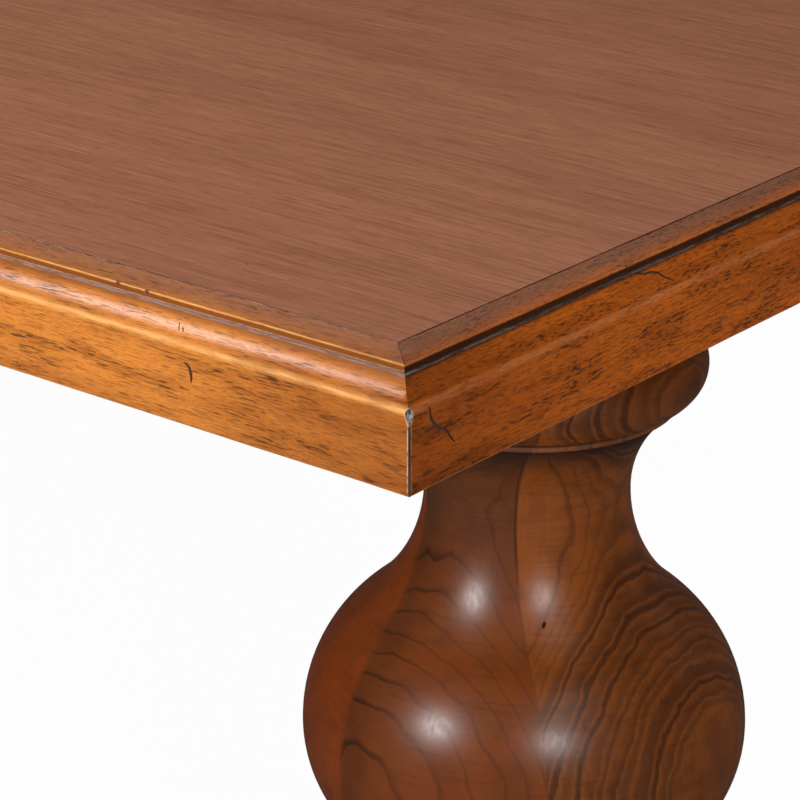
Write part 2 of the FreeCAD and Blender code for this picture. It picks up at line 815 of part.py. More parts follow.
def leg_body():
    """A bandsawn downswept leg along X from the column's axis, with a dovetail at its root."""
    body = new_body("leg")
    side = new_sketch(body, "XZ_Plane")
    top = hub_top - d.leg_shoulder
    # The knee leaves the hub level, the shin and the toe follow on tangent curves.
    knee_run = knee_reach - d.hub_flat
    knee_fall = top - d.knee_height
    knee_round = (knee_run * knee_run + knee_fall * knee_fall) / (2 * knee_fall)
    lean, stand = knee_run / knee_round, (knee_round - knee_fall) / knee_round
    shin_run = ankle_reach - knee_reach
    shin_fall = d.knee_height - d.ankle_height
    shin_round = (shin_run * shin_run + shin_fall * shin_fall) / (2 * (shin_run * lean - shin_fall * stand))
    toe_lean = (shin_run - shin_round * lean) / shin_round
    toe_stand = (shin_fall + shin_round * stand) / shin_round
    toe_run = d.leg_reach - ankle_reach
    toe_fall = d.ankle_height - d.toe_height
    toe_round = (toe_run * toe_run + toe_fall * toe_fall) / (2 * (toe_run * toe_lean + toe_fall * toe_stand))
    nose_round = d.toe_base - d.glide_gap
    arch_run = heel_reach - arch_reach
    arch_rise = d.leg_root - d.glide_gap
    arch_round = (arch_run * arch_run + arch_rise * arch_rise) / (2 * arch_rise)
    corners = [
        (d.hub_flat, d.leg_root),
        (d.hub_flat, top),
        (knee_reach, d.knee_height),
        (ankle_reach, d.ankle_height),
        (d.leg_reach, d.toe_height),
        (d.leg_reach, d.toe_base),
        (d.leg_reach - nose_round, d.glide_gap),
        (heel_reach, d.glide_gap),
        (arch_reach, d.leg_root),
    ]
    arcs = {
        1: (knee_round, -1),
        2: (shin_round, 1),
        3: (toe_round, -1),
        5: (nose_round, -1),
        7: (arch_round, 1),
    }
    outline(side, corners, arcs)
    pad(body, side, d.leg_thickness, both_ways=True)
    lowest = d.toe_height.value - FIT
    dress_edges(body, "Fillet", lambda ends, middle: (
        at(abs(middle.y), d.leg_thickness / 2)
        and middle.x > d.hub_flat.value + FIT
        and min(end.z for end in ends) > lowest
        and not all(at(end.z, d.leg_root) for end in ends)), Radius=d.leg_round)
    tail = new_sketch(body, "XY_Plane", d.leg_root)
    outline(tail, dovetail(sized(0)))
    pad(body, tail, d.dovetail_height)
    spot = [(glide_reach, 0)]
    drill(body, spot, d.socket_flange_radius + d.thread_gap, d.socket_flange_depth, d.glide_gap, up=True)
    drill(body, spot, d.socket_radius + d.thread_gap, d.socket_length, d.glide_gap, up=True)
    drill(body, spot, d.stem_radius + d.hole_gap, d.stem_length + d.hole_gap, d.glide_gap, up=True)
    pilot_depth = d.plate_screw_length - d.spider_depth + d.hole_gap
    drill(body, [(spider_outer_screw, 0)], pilot_hole, pilot_depth, d.leg_root, up=True)
    return body


def spider_body():
    """The four-armed steel plate screwed under the hub and the legs."""
    body = new_body("spider")
    plan = new_sketch(body, "XY_Plane")
    arm = d.spider_arm_width / 2
    corners = []
    for across, deep in QUARTERS:
        for reach, step in ((d.spider_hub_radius, -arm), (spider_reach, -arm),
                            (spider_reach, arm), (d.spider_hub_radius, arm)):
            corners.append((across * reach - deep * step, deep * reach + across * step))
    outline(plan, corners)
    pad(body, plan, d.spider_depth)
    drill(body, [(0, 0)], d.spider_eye, d.spider_depth + d.overrun, d.spider_depth)
    holes = [(across * reach, deep * reach) for across, deep in QUARTERS
             for reach in (d.spider_inner_screw, spider_outer_screw)]
    drill(body, holes, screw_hole, d.spider_depth + d.overrun, d.spider_depth)
    return body


def build_pedestals():
    """Caps, columns, hubs, legs and spiders of both pedestals."""
    levels = [
        ("cap", cap_body(), cap_base, 0.0),
        ("column", column_body(), hub_top, 0.0),
        ("hub", hub_body(), d.leg_root, 45.0),
        ("spider", spider_body(), d.leg_root - d.spider_depth, 45.0),
    ]
    for side, sign in SIDES.items():
        for piece, master, up, turn in levels:
            node(set_out(master, f"{side}_{piece}", sign * pedestal_across, 0, up, turn))
    leg = leg_body()
    for label, across, turn in leg_places():
        node(set_out(leg, f"{label}_leg", across, 0, 0, turn))


def build_hardware():
    """Tie rods, cap bolts and the screws of the spiders."""
    rod_foot = d.leg_root + d.hub_well_depth - d.rod_washer_depth - d.rod_nut_depth - d.rod_spare
    rod_head = bearer_base - d.cap_well_depth + d.rod_washer_depth + d.rod_nut_depth + d.rod_spare
    tie_rod = bar("tie_rod", d.rod_radius, rod_head - rod_foot)
    nut_bore = bar("rod_nut_bore", d.rod_radius + d.thread_gap, d.rod_nut_depth)
    nut = cut("rod_nut", hexagon("rod_nut_blank", d.rod_nut_radius, d.rod_nut_depth), nut_bore)
    washer = collar("rod_washer", d.rod_radius + d.thread_gap, d.rod_washer_radius, d.rod_washer_depth)
    bolt_length = d.bolt_washer_depth + d.cap_depth + d.bolt_grip
    bolt = doc.addObject("Part::Fuse", "cap_bolt")
    bolt.Base = hexagon("cap_bolt_head", d.bolt_head_radius, d.bolt_head_depth)
    bolt.Tool = bar("cap_bolt_shank", d.bolt_radius, d.bolt_head_depth + bolt_length)
    bolt_bore = d.bolt_radius + d.thread_gap
    bolt_washer = collar("cap_washer", bolt_bore, d.bolt_washer_radius, d.bolt_washer_depth)
    insert = collar("bearer_insert", bolt_bore, d.insert_radius, d.insert_depth)
    plate_screw = screw("plate_screw", d.plate_screw_length)
    groups = {name: [] for name in (
        "tie_rods", "rod_nuts", "rod_washers", "cap_bolts", "cap_washers", "bearer_inserts", "spider_screws")}
    washer_base = cap_base - d.bolt_washer_depth
    for sign in SIDES.values():
        axis = sign * pedestal_across
        groups["tie_rods"].append((tie_rod, axis, 0, rod_foot))
        groups["rod_nuts"].append((nut, axis, 0, rod_foot + d.rod_spare))
        groups["rod_nuts"].append((nut, axis, 0, rod_head - d.rod_spare - d.rod_nut_depth))
        groups["rod_washers"].append((washer, axis, 0, rod_foot + d.rod_spare + d.rod_nut_depth))
        groups["rod_washers"].append((washer, axis, 0, bearer_base - d.cap_well_depth))
        for across in SIDES.values():
            for deep in SIDES.values():
                spot = (axis + across * d.bearer_offset, deep * d.bolt_spread / 2)
                groups["cap_bolts"].append((bolt, *spot, washer_base - d.bolt_head_depth))
                groups["cap_washers"].append((bolt_washer, *spot, washer_base))
                groups["bearer_inserts"].append((insert, *spot, bearer_base))
                for reach in (d.spider_inner_screw, spider_outer_screw):
                    arm = reach * DIAGONAL_SHARE
                    head = d.leg_root - d.spider_depth - d.screw_head_depth
                    groups["spider_screws"].append((plate_screw, axis + across * arm, deep * arm, head))
    for label, spots in groups.items():
        node(bundle(label, spots))


def build_glides():
    """Levelling glides and the threaded sockets that they screw into."""
    bore = d.stem_radius + d.thread_gap
    socket = turned("glide_socket", [
        (bore, 0),
        (d.socket_flange_radius, 0),
        (d.socket_flange_radius, d.socket_flange_depth),
        (d.socket_radius, d.socket_flange_depth),
        (d.socket_radius, d.socket_length),
        (bore, d.socket_length),
    ])
    glide = turned("glide", [
        (0, 0),
        (d.glide_radius - d.glide_chamfer, 0),
        (d.glide_radius, d.glide_chamfer),
        (d.glide_radius, d.glide_disc),
        (d.glide_collar_radius, d.glide_disc),
        (d.glide_collar_radius, d.glide_gap),
        (d.stem_radius, d.glide_gap),
        (d.stem_radius, d.glide_gap + d.stem_length),
        (0, d.glide_gap + d.stem_length),
    ])
    sockets = []
    for label, across, turn in leg_places():
        angle = math.radians(turn)
        spot = (across + glide_reach * math.cos(angle), glide_reach * math.sin(angle))
        sockets.append((socket, *spot, d.glide_gap))
        node(set_out(glide, f"{label}_glide", *spot))
    node(bundle("glide_sockets", sockets))


def write_pieces():
    """Check every object and write each piece to its own file."""
    doc.recompute()
    failed = [item.Name for item in doc.Objects if {"Invalid", "Error"} & set(item.State)]
    if failed:
        raise RuntimeError(f"failed objects: {failed}")
    shapes = {item.Label: Part.getShape(item) for item in NODES}
    broken = [label for label, shape in shapes.items() if shape.isNull() or not shape.isValid()]
    if broken:
        raise RuntimeError(f"broken pieces: {broken}")
    os.makedirs("parts", exist_ok=True)
    for label, shape in shapes.items():
        shape.exportStep(f"parts/{label}.step")
    print(f"{len(shapes)} pieces written")


build_frame()
build_panel()
build_underframe()
build_pedestals()
build_hardware()
build_glides()
write_pieces()
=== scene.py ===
"""Dresses the double pedestal dining table: top, turned pedestals, underframe, floor, light and camera."""

import logging
import math
from dataclasses import dataclass, field
from enum import Enum
from typing import Iterable, Sequence

import bpy
from mathutils import Matrix, Vector


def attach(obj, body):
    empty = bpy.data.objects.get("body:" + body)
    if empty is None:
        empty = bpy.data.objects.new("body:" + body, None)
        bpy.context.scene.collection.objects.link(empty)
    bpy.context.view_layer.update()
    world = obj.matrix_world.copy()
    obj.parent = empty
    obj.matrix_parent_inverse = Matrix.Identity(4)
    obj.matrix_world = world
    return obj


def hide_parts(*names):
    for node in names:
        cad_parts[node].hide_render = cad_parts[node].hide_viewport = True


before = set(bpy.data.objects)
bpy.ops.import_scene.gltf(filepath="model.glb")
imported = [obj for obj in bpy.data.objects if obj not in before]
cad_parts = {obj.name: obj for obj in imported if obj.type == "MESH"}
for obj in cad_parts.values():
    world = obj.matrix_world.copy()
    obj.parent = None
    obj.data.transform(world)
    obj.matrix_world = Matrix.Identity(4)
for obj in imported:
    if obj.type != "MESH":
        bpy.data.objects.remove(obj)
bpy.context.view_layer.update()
LOG = logging.getLogger("table")
BODY = "table"
IMAGE_PIXELS = 800
Point = tuple[float, float]
Colour = tuple[float, float, float]
Place = tuple[float, float, float]

# Sizes of the table are in millimetres; what is multiplied by MM is in metres.
MM = 0.001
PEDESTAL_ACROSS = 760.0
LEFT_COLUMN_TURN = 145.0
COLUMN_DENT: Place = (821.7, -63.0, 397.2)

# Points nearer than these are one: TOUCH in a mesh, in metres, SAME_POINT in a section, in millimetres.
TOUCH = 0.01 * MM
SAME_POINT = 0.001

# Facets and shake of the small cutters.
PEBBLE_FACETS = 2
PEBBLE_SEED = 11

# Span that most of a noise's values lie in, and the distances where a pore begins and is full.
NOISE_SPAN: Point = (0.3, 0.7)
PORE_SPAN: Point = (0.34, 0.16)


class Grain(Enum):
    """Way that the grain of a piece runs, as the turn about Z that brings X onto it."""

    LONG = 0.0
    ACROSS = 90.0
    RISING = 45.0
    FALLING = -45.0


class Bench:
    """Operator steps that several pieces share."""

    @staticmethod
    def clear() -> None:
        """Leave edit mode and deselect everything."""
        if bpy.context.mode != "OBJECT":
            bpy.ops.object.mode_set(mode="OBJECT")
        bpy.ops.object.select_all(action="DESELECT")

    @staticmethod
    def hold(piece: bpy.types.Object) -> None:
        """Select one piece alone and make it active.

        Args:
            piece: The piece.
        """
        Bench.clear()
        piece.select_set(True)
        bpy.context.view_layer.objects.active = piece

    @staticmethod
    def draw(name: str, points: Sequence[Vector]) -> bpy.types.Object:
        """Draw a line of edges from point to point and stay in edit mode.

        Args:
            name: Name of the new piece.
            points: Places of the line's corners, in metres.

        Returns:
            The piece, with its last corner selected.
        """
        Bench.clear()
        bpy.ops.mesh.primitive_plane_add(size=MM, location=points[0])
        piece = bpy.context.object
        piece.name = name
        piece.data.name = name
        bpy.ops.object.transform_apply(location=True, rotation=True, scale=True)
        bpy.ops.object.mode_set(mode="EDIT")
        bpy.ops.mesh.select_mode(type="VERT")
        bpy.ops.mesh.select_all(action="SELECT")
        bpy.ops.mesh.merge(type="CENTER")
        for start, end in zip(points, points[1:]):
            bpy.ops.mesh.extrude_region_move(TRANSFORM_OT_translate={"value": end - start})
        return piece

    @staticmethod
    def fill() -> None:
        """Close the drawn line into a face."""
        bpy.ops.mesh.select_all(action="SELECT")
        bpy.ops.mesh.edge_face_add()

    @staticmethod
    def sweep(way: Vector, steps: int) -> None:
        """Extrude the selected face along a way in equal steps."""
        for _ in range(steps):
            bpy.ops.mesh.extrude_region_move(TRANSFORM_OT_translate={"value": way / steps})

    @staticmethod
    def settle() -> None:
        """Merge doubles, turn all faces outwards and leave edit mode."""
        bpy.ops.mesh.select_all(action="SELECT")
        bpy.ops.mesh.remove_doubles(threshold=TOUCH)
        bpy.ops.mesh.normals_make_consistent(inside=False)
        bpy.ops.object.mode_set(mode="OBJECT")

    @staticmethod
    def saw(place: Vector, normal: Vector) -> None:
        """Cut the whole mesh on a plane, drop the side that the normal points to and close the cut."""
        bpy.ops.mesh.select_all(action="SELECT")
        bpy.ops.mesh.bisect(plane_co=place, plane_no=normal, use_fill=True, clear_outer=True)

    @staticmethod
    def soften(piece: bpy.types.Object, width: float, segments: int, angle: float) -> None:
        """Round every edge sharper than an angle and apply it.

        Args:
            piece: Piece to soften.
            width: Width of the round, in metres.
            segments: Faces across the round.
            angle: Sharpest angle that is left as it is, in degrees.
        """
        Bench.hold(piece)
        bevel = piece.modifiers.new("eased_edges", "BEVEL")
        bevel.width = width
        bevel.segments = segments
        bevel.limit_method = "ANGLE"
        bevel.angle_limit = math.radians(angle)
        bevel.use_clamp_overlap = True
        bpy.ops.object.modifier_apply(modifier=bevel.name)

    @staticmethod
    def smooth(piece: bpy.types.Object, angle: float) -> None:
        """Shade a piece smooth up to an angle in degrees."""
        Bench.hold(piece)
        bpy.ops.object.shade_smooth_by_angle(angle=math.radians(angle))

    @staticmethod
    def stamp(piece: bpy.types.Object, name: str, values: Iterable[float]) -> None:
        """Keep one number per vertex on the piece for its finish to read."""
        marks = piece.data.attributes.new(name, "FLOAT", "POINT")
        marks.data.foreach_set("value", list(values))

    @staticmethod
    def copy_to(master: bpy.types.Object, name: str, place: Matrix) -> bpy.types.Object:
        """Copy a piece with its own mesh and bake its new place into the mesh.

        Args:
            master: The piece to copy.
            name: Name of the copy.
            place: Where the copy goes.

        Returns:
            The copy.
        """
        Bench.clear()
        copy = master.copy()
        copy.data = master.data.copy()
        copy.name = name
        copy.data.name = name
        bpy.context.collection.objects.link(copy)
        copy.matrix_world = place
        Bench.hold(copy)
        bpy.ops.object.transform_apply(location=True, rotation=True, scale=True)
        return copy

    @staticmethod
    def pebble(name: str, place: Place, reach: Place, uneven: float) -> bpy.types.Object:
        """Make a cutter of a small break in the surface.

        Args:
            name: Name of the cutter.
            place: Its middle, in millimetres.
            reach: Half its sizes, in millimetres.
            uneven: How far its corners are shaken out of place, in millimetres.

        Returns:
            The cutter.
        """
        Bench.clear()
        bpy.ops.mesh.primitive_ico_sphere_add(
            subdivisions=PEBBLE_FACETS, radius=MM, location=Vector(place) * MM)
        cutter = bpy.context.object
        cutter.name = name
        cutter.scale = reach
        bpy.ops.object.transform_apply(location=True, rotation=True, scale=True)
        bpy.ops.object.mode_set(mode="EDIT")
        bpy.ops.mesh.select_all(action="SELECT")
        bpy.ops.transform.vertex_random(offset=uneven * MM, uniform=0.0, normal=0.0, seed=PEBBLE_SEED)
        bpy.ops.object.mode_set(mode="OBJECT")
        return cutter

    @staticmethod
    def carve(piece: bpy.types.Object, cutter: bpy.types.Object) -> None:
        """Cut a mark out of a piece.

        Args:
            piece: The piece.
            cutter: Shape of the mark, which stays.
        """
        Bench.hold(piece)
        cut = piece.modifiers.new("carved_mark", "BOOLEAN")
        cut.operation = "DIFFERENCE"
        cut.solver = "EXACT"
        cut.object = cutter
        bpy.ops.object.modifier_apply(modifier=cut.name)

    @staticmethod
    def drop(piece: bpy.types.Object) -> None:
        """Remove a master or cutter that isn't part of the table.

        Args:
            piece: The master or cutter.
        """
        mesh = piece.data
        bpy.data.objects.remove(piece)
        bpy.data.meshes.remove(mesh)


def arc(start: Point, end: Point, radius: float, side: int, steps: int) -> list[Point]:
    """Points of the short arc between two points, both ends included.

    Args:
        start: First point.
        end: Last point.
        radius: Radius of the arc.
        side: 1 where the centre is left of the way, -1 where it is right.
        steps: Number of chords.

    Returns:
        The points in order.
    """
    first = Vector(start)
    chord = Vector(end) - first
    rise = math.sqrt(max(radius ** 2 - (chord.length / 2) ** 2, 0.0))
    left = Vector((-chord.y, chord.x)).normalized()
    centre = first + chord / 2 + left * rise * side
    opening = math.asin(min(chord.length / 2 / radius, 1.0)) * 2
    spoke = first - centre
    points = []
    for step in range(steps + 1):
        turn = opening * step / steps * side
        cos, sin = math.cos(turn), math.sin(turn)
        points.append((centre.x + spoke.x * cos - spoke.y * sin, centre.y + spoke.x * sin + spoke.y * cos))
    return points


def chain(*runs: Sequence[Point]) -> list[Point]:
    """Join runs of points and leave out the doubled joints.

    Args:
        runs: The runs in order, in millimetres.

    Returns:
        The points of all runs.
    """
    points: list[Point] = []
    for run in runs:
        for point in run:
            if not points or (Vector(point) - Vector(points[-1])).length > SAME_POINT:
                points.append(point)
    return points


def fade(away: float, far: float, near: float) -> float:
    """One up to a near distance, nought from a far one."""
    return min(max((far - away) / (far - near), 0.0), 1.0)


class Graph:
    """Lays out the nodes of one finish or of the surround."""

    def __init__(self, owner: bpy.types.ID) -> None:
        owner.use_nodes = True
        self.owner = owner
        self.tree = owner.node_tree

    @property
    def shader(self) -> bpy.types.Node:
        """The material's own shader."""
        return self.tree.nodes["Principled BSDF"]

    def feed(self, target: bpy.types.NodeSocket, value) -> None:
        """Link an input to another node's output, or set its value.

        Args:
            target: The input.
            value: Output or plain value.
        """
        if isinstance(value, bpy.types.NodeSocket):
            self.tree.links.new(value, target)
        else:
            target.default_value = value

    def add(self, kind: str, inputs: dict, **settings) -> bpy.types.Node:
        """Add a node, set its settings and feed its inputs.

        Args:
            kind: Blender's name of the node.
            inputs: Socket name or number to a value or to another node's output.
            settings: Properties of the node.

        Returns:
            The node.
        """
        node = self.tree.nodes.new(kind)
        for name, value in settings.items():
            setattr(node, name, value)
        for socket, value in inputs.items():
            self.feed(node.inputs[socket], value)
        return node

    def place(self) -> bpy.types.NodeSocket:
        """Object coordinates."""
        return self.add("ShaderNodeTexCoord", {}).outputs["Object"]

    def axes(self, vector) -> bpy.types.bpy_prop_collection:
        """Coordinates one by one."""
        return self.add("ShaderNodeSeparateXYZ", {0: vector}).outputs

    def mapped(self, vector, scale: Place = (1, 1, 1), turn: float = 0.0,
               origin: Place = (0, 0, 0)) -> bpy.types.NodeSocket:
        """Measure coordinates from an origin, turn them back about Z, then stretch them.

        Args:
            vector: Coordinates.
            scale: Stretch along X, Y and Z.
            turn: Turn about Z, in degrees.
            origin: Place that they are measured from, in metres.

        Returns:
            The new coordinates.
        """
        inputs = {"Vector": vector, "Location": origin, "Rotation": (0, 0, math.radians(turn))}
        turned = self.add("ShaderNodeMapping", inputs, vector_type="TEXTURE").outputs[0]
        return self.add("ShaderNodeVectorMath", {0: turned, 1: scale}, operation="MULTIPLY").outputs[0]

    def noise(self, vector, scale: float, detail: float = 2.0, rough: float = 0.5) -> bpy.types.NodeSocket:
        """Soft noise from 0 to 1."""
        inputs = {"Vector": vector, "Scale": scale, "Detail": detail, "Roughness": rough}
        return self.add("ShaderNodeTexNoise", inputs).outputs["Fac"]

    def grained(self, vector, stretch: Place, detail: float = 3.0,
                rough: float = 0.5) -> bpy.types.NodeSocket:
        """Soft noise with so many cells in a metre along X, Y and Z."""
        return self.noise(self.mapped(vector, stretch), 1.0, detail, rough)

    def layers(self, value, detail: float) -> bpy.types.NodeSocket:
        """Soft noise along one value, from 0 to 1."""
        inputs = {"W": value, "Scale": 1.0, "Detail": detail}
        return self.add("ShaderNodeTexNoise", inputs, noise_dimensions="1D").outputs["Fac"]

    def span(self, value, low: float, high: float, to_low: float = 0.0,
             to_high: float = 1.0) -> bpy.types.NodeSocket:
        """Stretch a span of values, held at its ends."""
        inputs = {"Value": value, "From Min": low, "From Max": high, "To Min": to_low, "To Max": to_high}
        return self.add("ShaderNodeMapRange", inputs, interpolation_type="SMOOTHSTEP").outputs["Result"]

    def sum(self, operation: str, first, second=0.0) -> bpy.types.NodeSocket:
        """Do arithmetic on two values."""
        return self.add("ShaderNodeMath", {0: first, 1: second}, operation=operation).outputs[0]

    def plus(self, first, second) -> bpy.types.NodeSocket:
        """Add two values."""
        return self.sum("ADD", first, second)

    def less(self, first, second) -> bpy.types.NodeSocket:
        """Take the second value from the first."""
        return self.sum("SUBTRACT", first, second)

    def times(self, first, second) -> bpy.types.NodeSocket:
        """Multiply two values."""
        return self.sum("MULTIPLY", first, second)

    def blend(self, first, weight: float, second, other_weight: float) -> bpy.types.NodeSocket:
        """Add two values, each times its weight."""
        return self.plus(self.times(first, weight), self.times(second, other_weight))

    def mix(self, amount, first, second) -> bpy.types.NodeSocket:
        """Mix two colours.

        Args:
            amount: Share of the second colour.
            first: First colour, three numbers or an output.
            second: Second colour, three numbers or an output.

        Returns:
            The mixed colour.
        """
        node = self.add("ShaderNodeMix", {}, data_type="RGBA")
        for socket, value in (("Factor_Float", amount), ("A_Color", first), ("B_Color", second)):
            target = next(item for item in node.inputs if item.identifier == socket)
            self.feed(target, (*value, 1.0) if isinstance(value, tuple) else value)
        return next(item for item in node.outputs if item.identifier == "Result_Color")

    def tint(self, wood, colour, amount, strength: float) -> bpy.types.NodeSocket:
        """Lay a colour on another, as far as an amount times a strength says."""
        return self.mix(self.times(amount, strength), wood, colour)

    def ramp(self, value, *stops: tuple[float, Colour]) -> bpy.types.NodeSocket:
        """Run from one colour to another along a value.

        Args:
            value: The value.
            stops: Two values with their colours.

        Returns:
            The colour.
        """
        node = self.add("ShaderNodeValToRGB", {"Fac": value})
        for element, (spot, colour) in zip(node.color_ramp.elements, stops):
            element.position = spot
            element.color = (*colour, 1.0)
        return node.outputs["Color"]

    def mark(self, name: str) -> bpy.types.NodeSocket:
        """A number kept on the piece's vertices."""
        return self.add("ShaderNodeAttribute", {}, attribute_name=name).outputs["Fac"]

    def nearness(self, spot, centre: Place, reach: Place) -> bpy.types.NodeSocket:
        """Distance from a centre in shares of a reach, both in metres."""
        inputs = {"Vector": spot, "Location": centre, "Scale": reach}
        near = self.add("ShaderNodeMapping", inputs, vector_type="TEXTURE").outputs[0]
        return self.add("ShaderNodeVectorMath", {0: near}, operation="LENGTH").outputs["Value"]

    def pores(self, vector, length: float, width: float, keep: float) -> bpy.types.NodeSocket:
        """Short flecks along X of the given coordinates.

        Args:
            vector: Coordinates in metres, grain along X.
            length: Spacing of the flecks along the grain, in metres.
            width: Spacing across it, in metres.
            keep: Share of the flecks that show.

        Returns:
            Flecks from 0 to 1.
        """
        stretched = self.mapped(vector, (1 / length, 1 / width, 1 / width))
        cells = self.add("ShaderNodeTexVoronoi", {"Vector": stretched, "Scale": 1.0})
        lot = self.add("ShaderNodeSeparateColor", {"Color": cells.outputs["Color"]}).outputs["Red"]
        shown = self.sum("LESS_THAN", lot, keep)
        return self.times(shown, self.span(cells.outputs["Distance"], *PORE_SPAN))

    def finish(self, colour, rough, height, depth: float, **constants) -> bpy.types.Material:
        """Feed the shader and return the material.

        Args:
            colour: Base colour.
            rough: Roughness, an output or a number.
            height: Height for bump.
            depth: Depth of the bump, in metres.
            constants: Numbers set on the shader's own sockets, spaces written as underscores.

        Returns:
            The material.
        """
        inputs = self.shader.inputs
        self.feed(inputs["Base Color"], colour)
        self.feed(inputs["Roughness"], rough)
        for name, value in constants.items():
            inputs[name.replace("_", " ")].default_value = value
        bump = self.add("ShaderNodeBump", {"Height": height, "Distance": depth, "Strength": 1.0})
        self.feed(inputs["Normal"], bump.outputs["Normal"])
        return self.owner


@dataclass(frozen=True)
class MouldingFinish:
    """Golden open-pored mahogany of the edge mouldings, glazed in its quirk and rubbed on its arrises, with
    painted shade under the quirk, painted reflections on the glaze and a painted highlight on the arrises.

    Places and lengths are in metres. A stretch counts the cells of a noise in a metre along X, Y and Z.
    """

    name: str
    grain: Grain
    half_along: float
    half_across: float
    arris: float
    foot: float
    chip_place: Place
    pits: Sequence[Place]
    light: Colour
    deep: Colour
    strip: Colour
    # Colour of the painted shade in the hollow under the quirk and on its step.
    quirk_shade: Colour
    # Quirk colours: dark glaze with grey painted reflections on it.
    quirk: Colour
    quirk_deep: Colour
    dash_length: float
    dash_width: float
    dash_share: float
    edge_wear_sheen: float
    gloss: float
    pore: Colour = (0.040, 0.014, 0.006)
    glaze: Colour = (0.020, 0.012, 0.009)
    # Colour of the rubbed arrises, which also paints their highlight.
    worn_sheen: Colour = (0.700, 0.330, 0.090)
    # On the long mouldings, pale painted glints in the glazed joint to the field.
    joint: Colour = (0.020, 0.012, 0.009)
    bared: Colour = (0.700, 0.430, 0.230)
    groove: Colour = (0.062, 0.036, 0.028)
    scratch: Colour = (0.075, 0.046, 0.035)
    cut: Colour = (0.075, 0.046, 0.035)
    chip: Colour = (0.300, 0.270, 0.270)
    chip_reach: Place = (2.5 * MM, 2.5 * MM, 8.1 * MM)
    pit_reach: Place = (1.5 * MM, 1.5 * MM, 1.5 * MM)
    patch_stretch: Place = (60, 400, 400)
    fibre_stretch: Place = (45, 1400, 1400)
    band_stretch: Place = (4, 46, 46)
    smudge_stretch: Place = (19, 85, 85)
    glint_stretch: Place = (110, 900, 900)
    crumb_stretch: Place = (1100, 1100, 260)
    speck_share: float = 3.2
    speck_stretch: float = 2100
    corner_span: Point = (150 * MM, 10 * MM)
    slot_top: Point = (-0.5 * MM, 1.0 * MM)
    slot_span: Point = (1.15 * MM, 0.80 * MM)
    bared_span: Point = (1.75 * MM, 1.35 * MM)
    seam_span: Point = (0.50 * MM, 0.12 * MM)
    gash_top: Point = (1.2 * MM, 2.4 * MM)
    gash_foot: Point = (2.4 * MM, 3.0 * MM)
    gash_skin: Point = (0.50 * MM, 0.80 * MM)
    gash_floor: Point = (4 * MM, 3 * MM)
    rough: Point = (0.24, 0.30)
    bump: float = 0.015 * MM

    def build(self) -> bpy.types.Material:
        """Make the material.

        Returns:
            The material.
        """
        graph = Graph(bpy.data.materials.new(self.name))
        spot = graph.place()
        place = graph.mapped(spot, turn=self.grain.value)
        patchy = graph.grained(place, self.patch_stretch)
        wood, flecks, fibres = self.timber(graph, place)
        wood = self.rub(graph, wood, place, patchy)
        wood = self.open_joints(graph, wood, place, patchy)
        wood = self.break_edges(graph, wood, spot)
        rough = graph.plus(graph.times(flecks, 0.1), graph.span(fibres, *NOISE_SPAN, *self.rough))
        rough = graph.plus(graph.times(graph.mark("worn_sheen"), 0.28 * self.edge_wear_sheen), rough)
        height = graph.less(graph.times(fibres, 0.12), flecks)
        return graph.finish(wood, rough, height, self.bump, Specular_IOR_Level=self.gloss)

    def timber(self, graph: Graph, place) -> tuple:
        """Lay fibres, smudges and pores.

        Args:
            graph: Graph of the finish.
            place: Coordinates with the grain along X.

        Returns:
            Colour, pores and fibres.
        """
        fibres = graph.grained(place, self.fibre_stretch, 4.0, 0.72)
        bands = graph.grained(place, self.band_stretch)
        wood = graph.ramp(graph.blend(fibres, 0.50, bands, 0.50), (0.27, self.deep), (0.60, self.light))
        smudges = graph.span(graph.grained(place, self.smudge_stretch, 3.0, 0.58), 0.44, 0.66)
        along = graph.sum("ABSOLUTE", graph.axes(place)[0])
        corner = graph.span(along, *(self.half_along - away for away in self.corner_span))
        wood = graph.mix(graph.blend(smudges, 0.45, corner, 0.56), wood, self.deep)
        wood = graph.tint(wood, self.strip, graph.mark("strip"), 0.80)
        stretch = 1 / self.dash_length
        across = 1 / self.dash_width
        few = 0.66 - 0.16 * self.dash_share
        dashes = graph.span(graph.grained(place, (stretch, across, across), 0.5), few, few + 0.04)
        dashes = graph.times(dashes, graph.span(smudges, 0.0, 0.8, 0.55, 1.0))
        fine = (self.speck_share * stretch, self.speck_stretch, self.speck_stretch)
        specks = graph.span(graph.grained(place, fine, 1.0), 0.55, 0.66)
        flecks = graph.sum("MAXIMUM", dashes, graph.times(specks, 0.35))
        flecks = graph.times(flecks, graph.span(graph.mark("strip"), 0.0, 1.0, 1.0, 0.9))
        return graph.tint(wood, self.pore, flecks, 0.80), flecks, fibres

    def rub(self, graph: Graph, wood, place, patchy) -> bpy.types.NodeSocket:
        """Lay painted shade under the quirk, lighten the arrises where rubbed and with a painted highlight,
        and lay glaze in quirk and joint, broken by painted reflections and glints.

        Args:
            graph: Graph of the finish.
            wood: Colour so far.
            place: Coordinates with the grain along X.
            patchy: Noise that breaks up the wear.

        Returns:
            The rubbed colour.
        """
        # Painted shade: darker towards the quirk in the hollow and on the step.
        wood = graph.tint(wood, self.quirk_shade, graph.mark("quirk_shade"), 0.9)
        # Rubbed arrises with a painted highlight along the nose and the lip of the strip.
        worn_sheen = graph.times(graph.mark("worn_sheen"), graph.span(patchy, 0.3, 0.65, 0.35, 1.0))
        wood = graph.tint(wood, self.worn_sheen, worn_sheen, 0.9 * self.edge_wear_sheen)
        wood = graph.tint(wood, self.worn_sheen, graph.mark("rub"), 0.45)
        # Painted reflections: grey glints on the dark glaze of the quirk.
        glint = graph.span(graph.grained(place, self.glint_stretch, 3.0, 0.6), 0.38, 0.62)
        wood = graph.mix(graph.mark("quirk"), wood, graph.mix(glint, self.quirk_deep, self.quirk))
        # Painted highlight: on the long mouldings the dark glaze of the joint to the field is broken by
        # pale glints.
        return graph.mix(graph.mark("glaze"), wood, graph.mix(glint, self.glaze, self.joint))

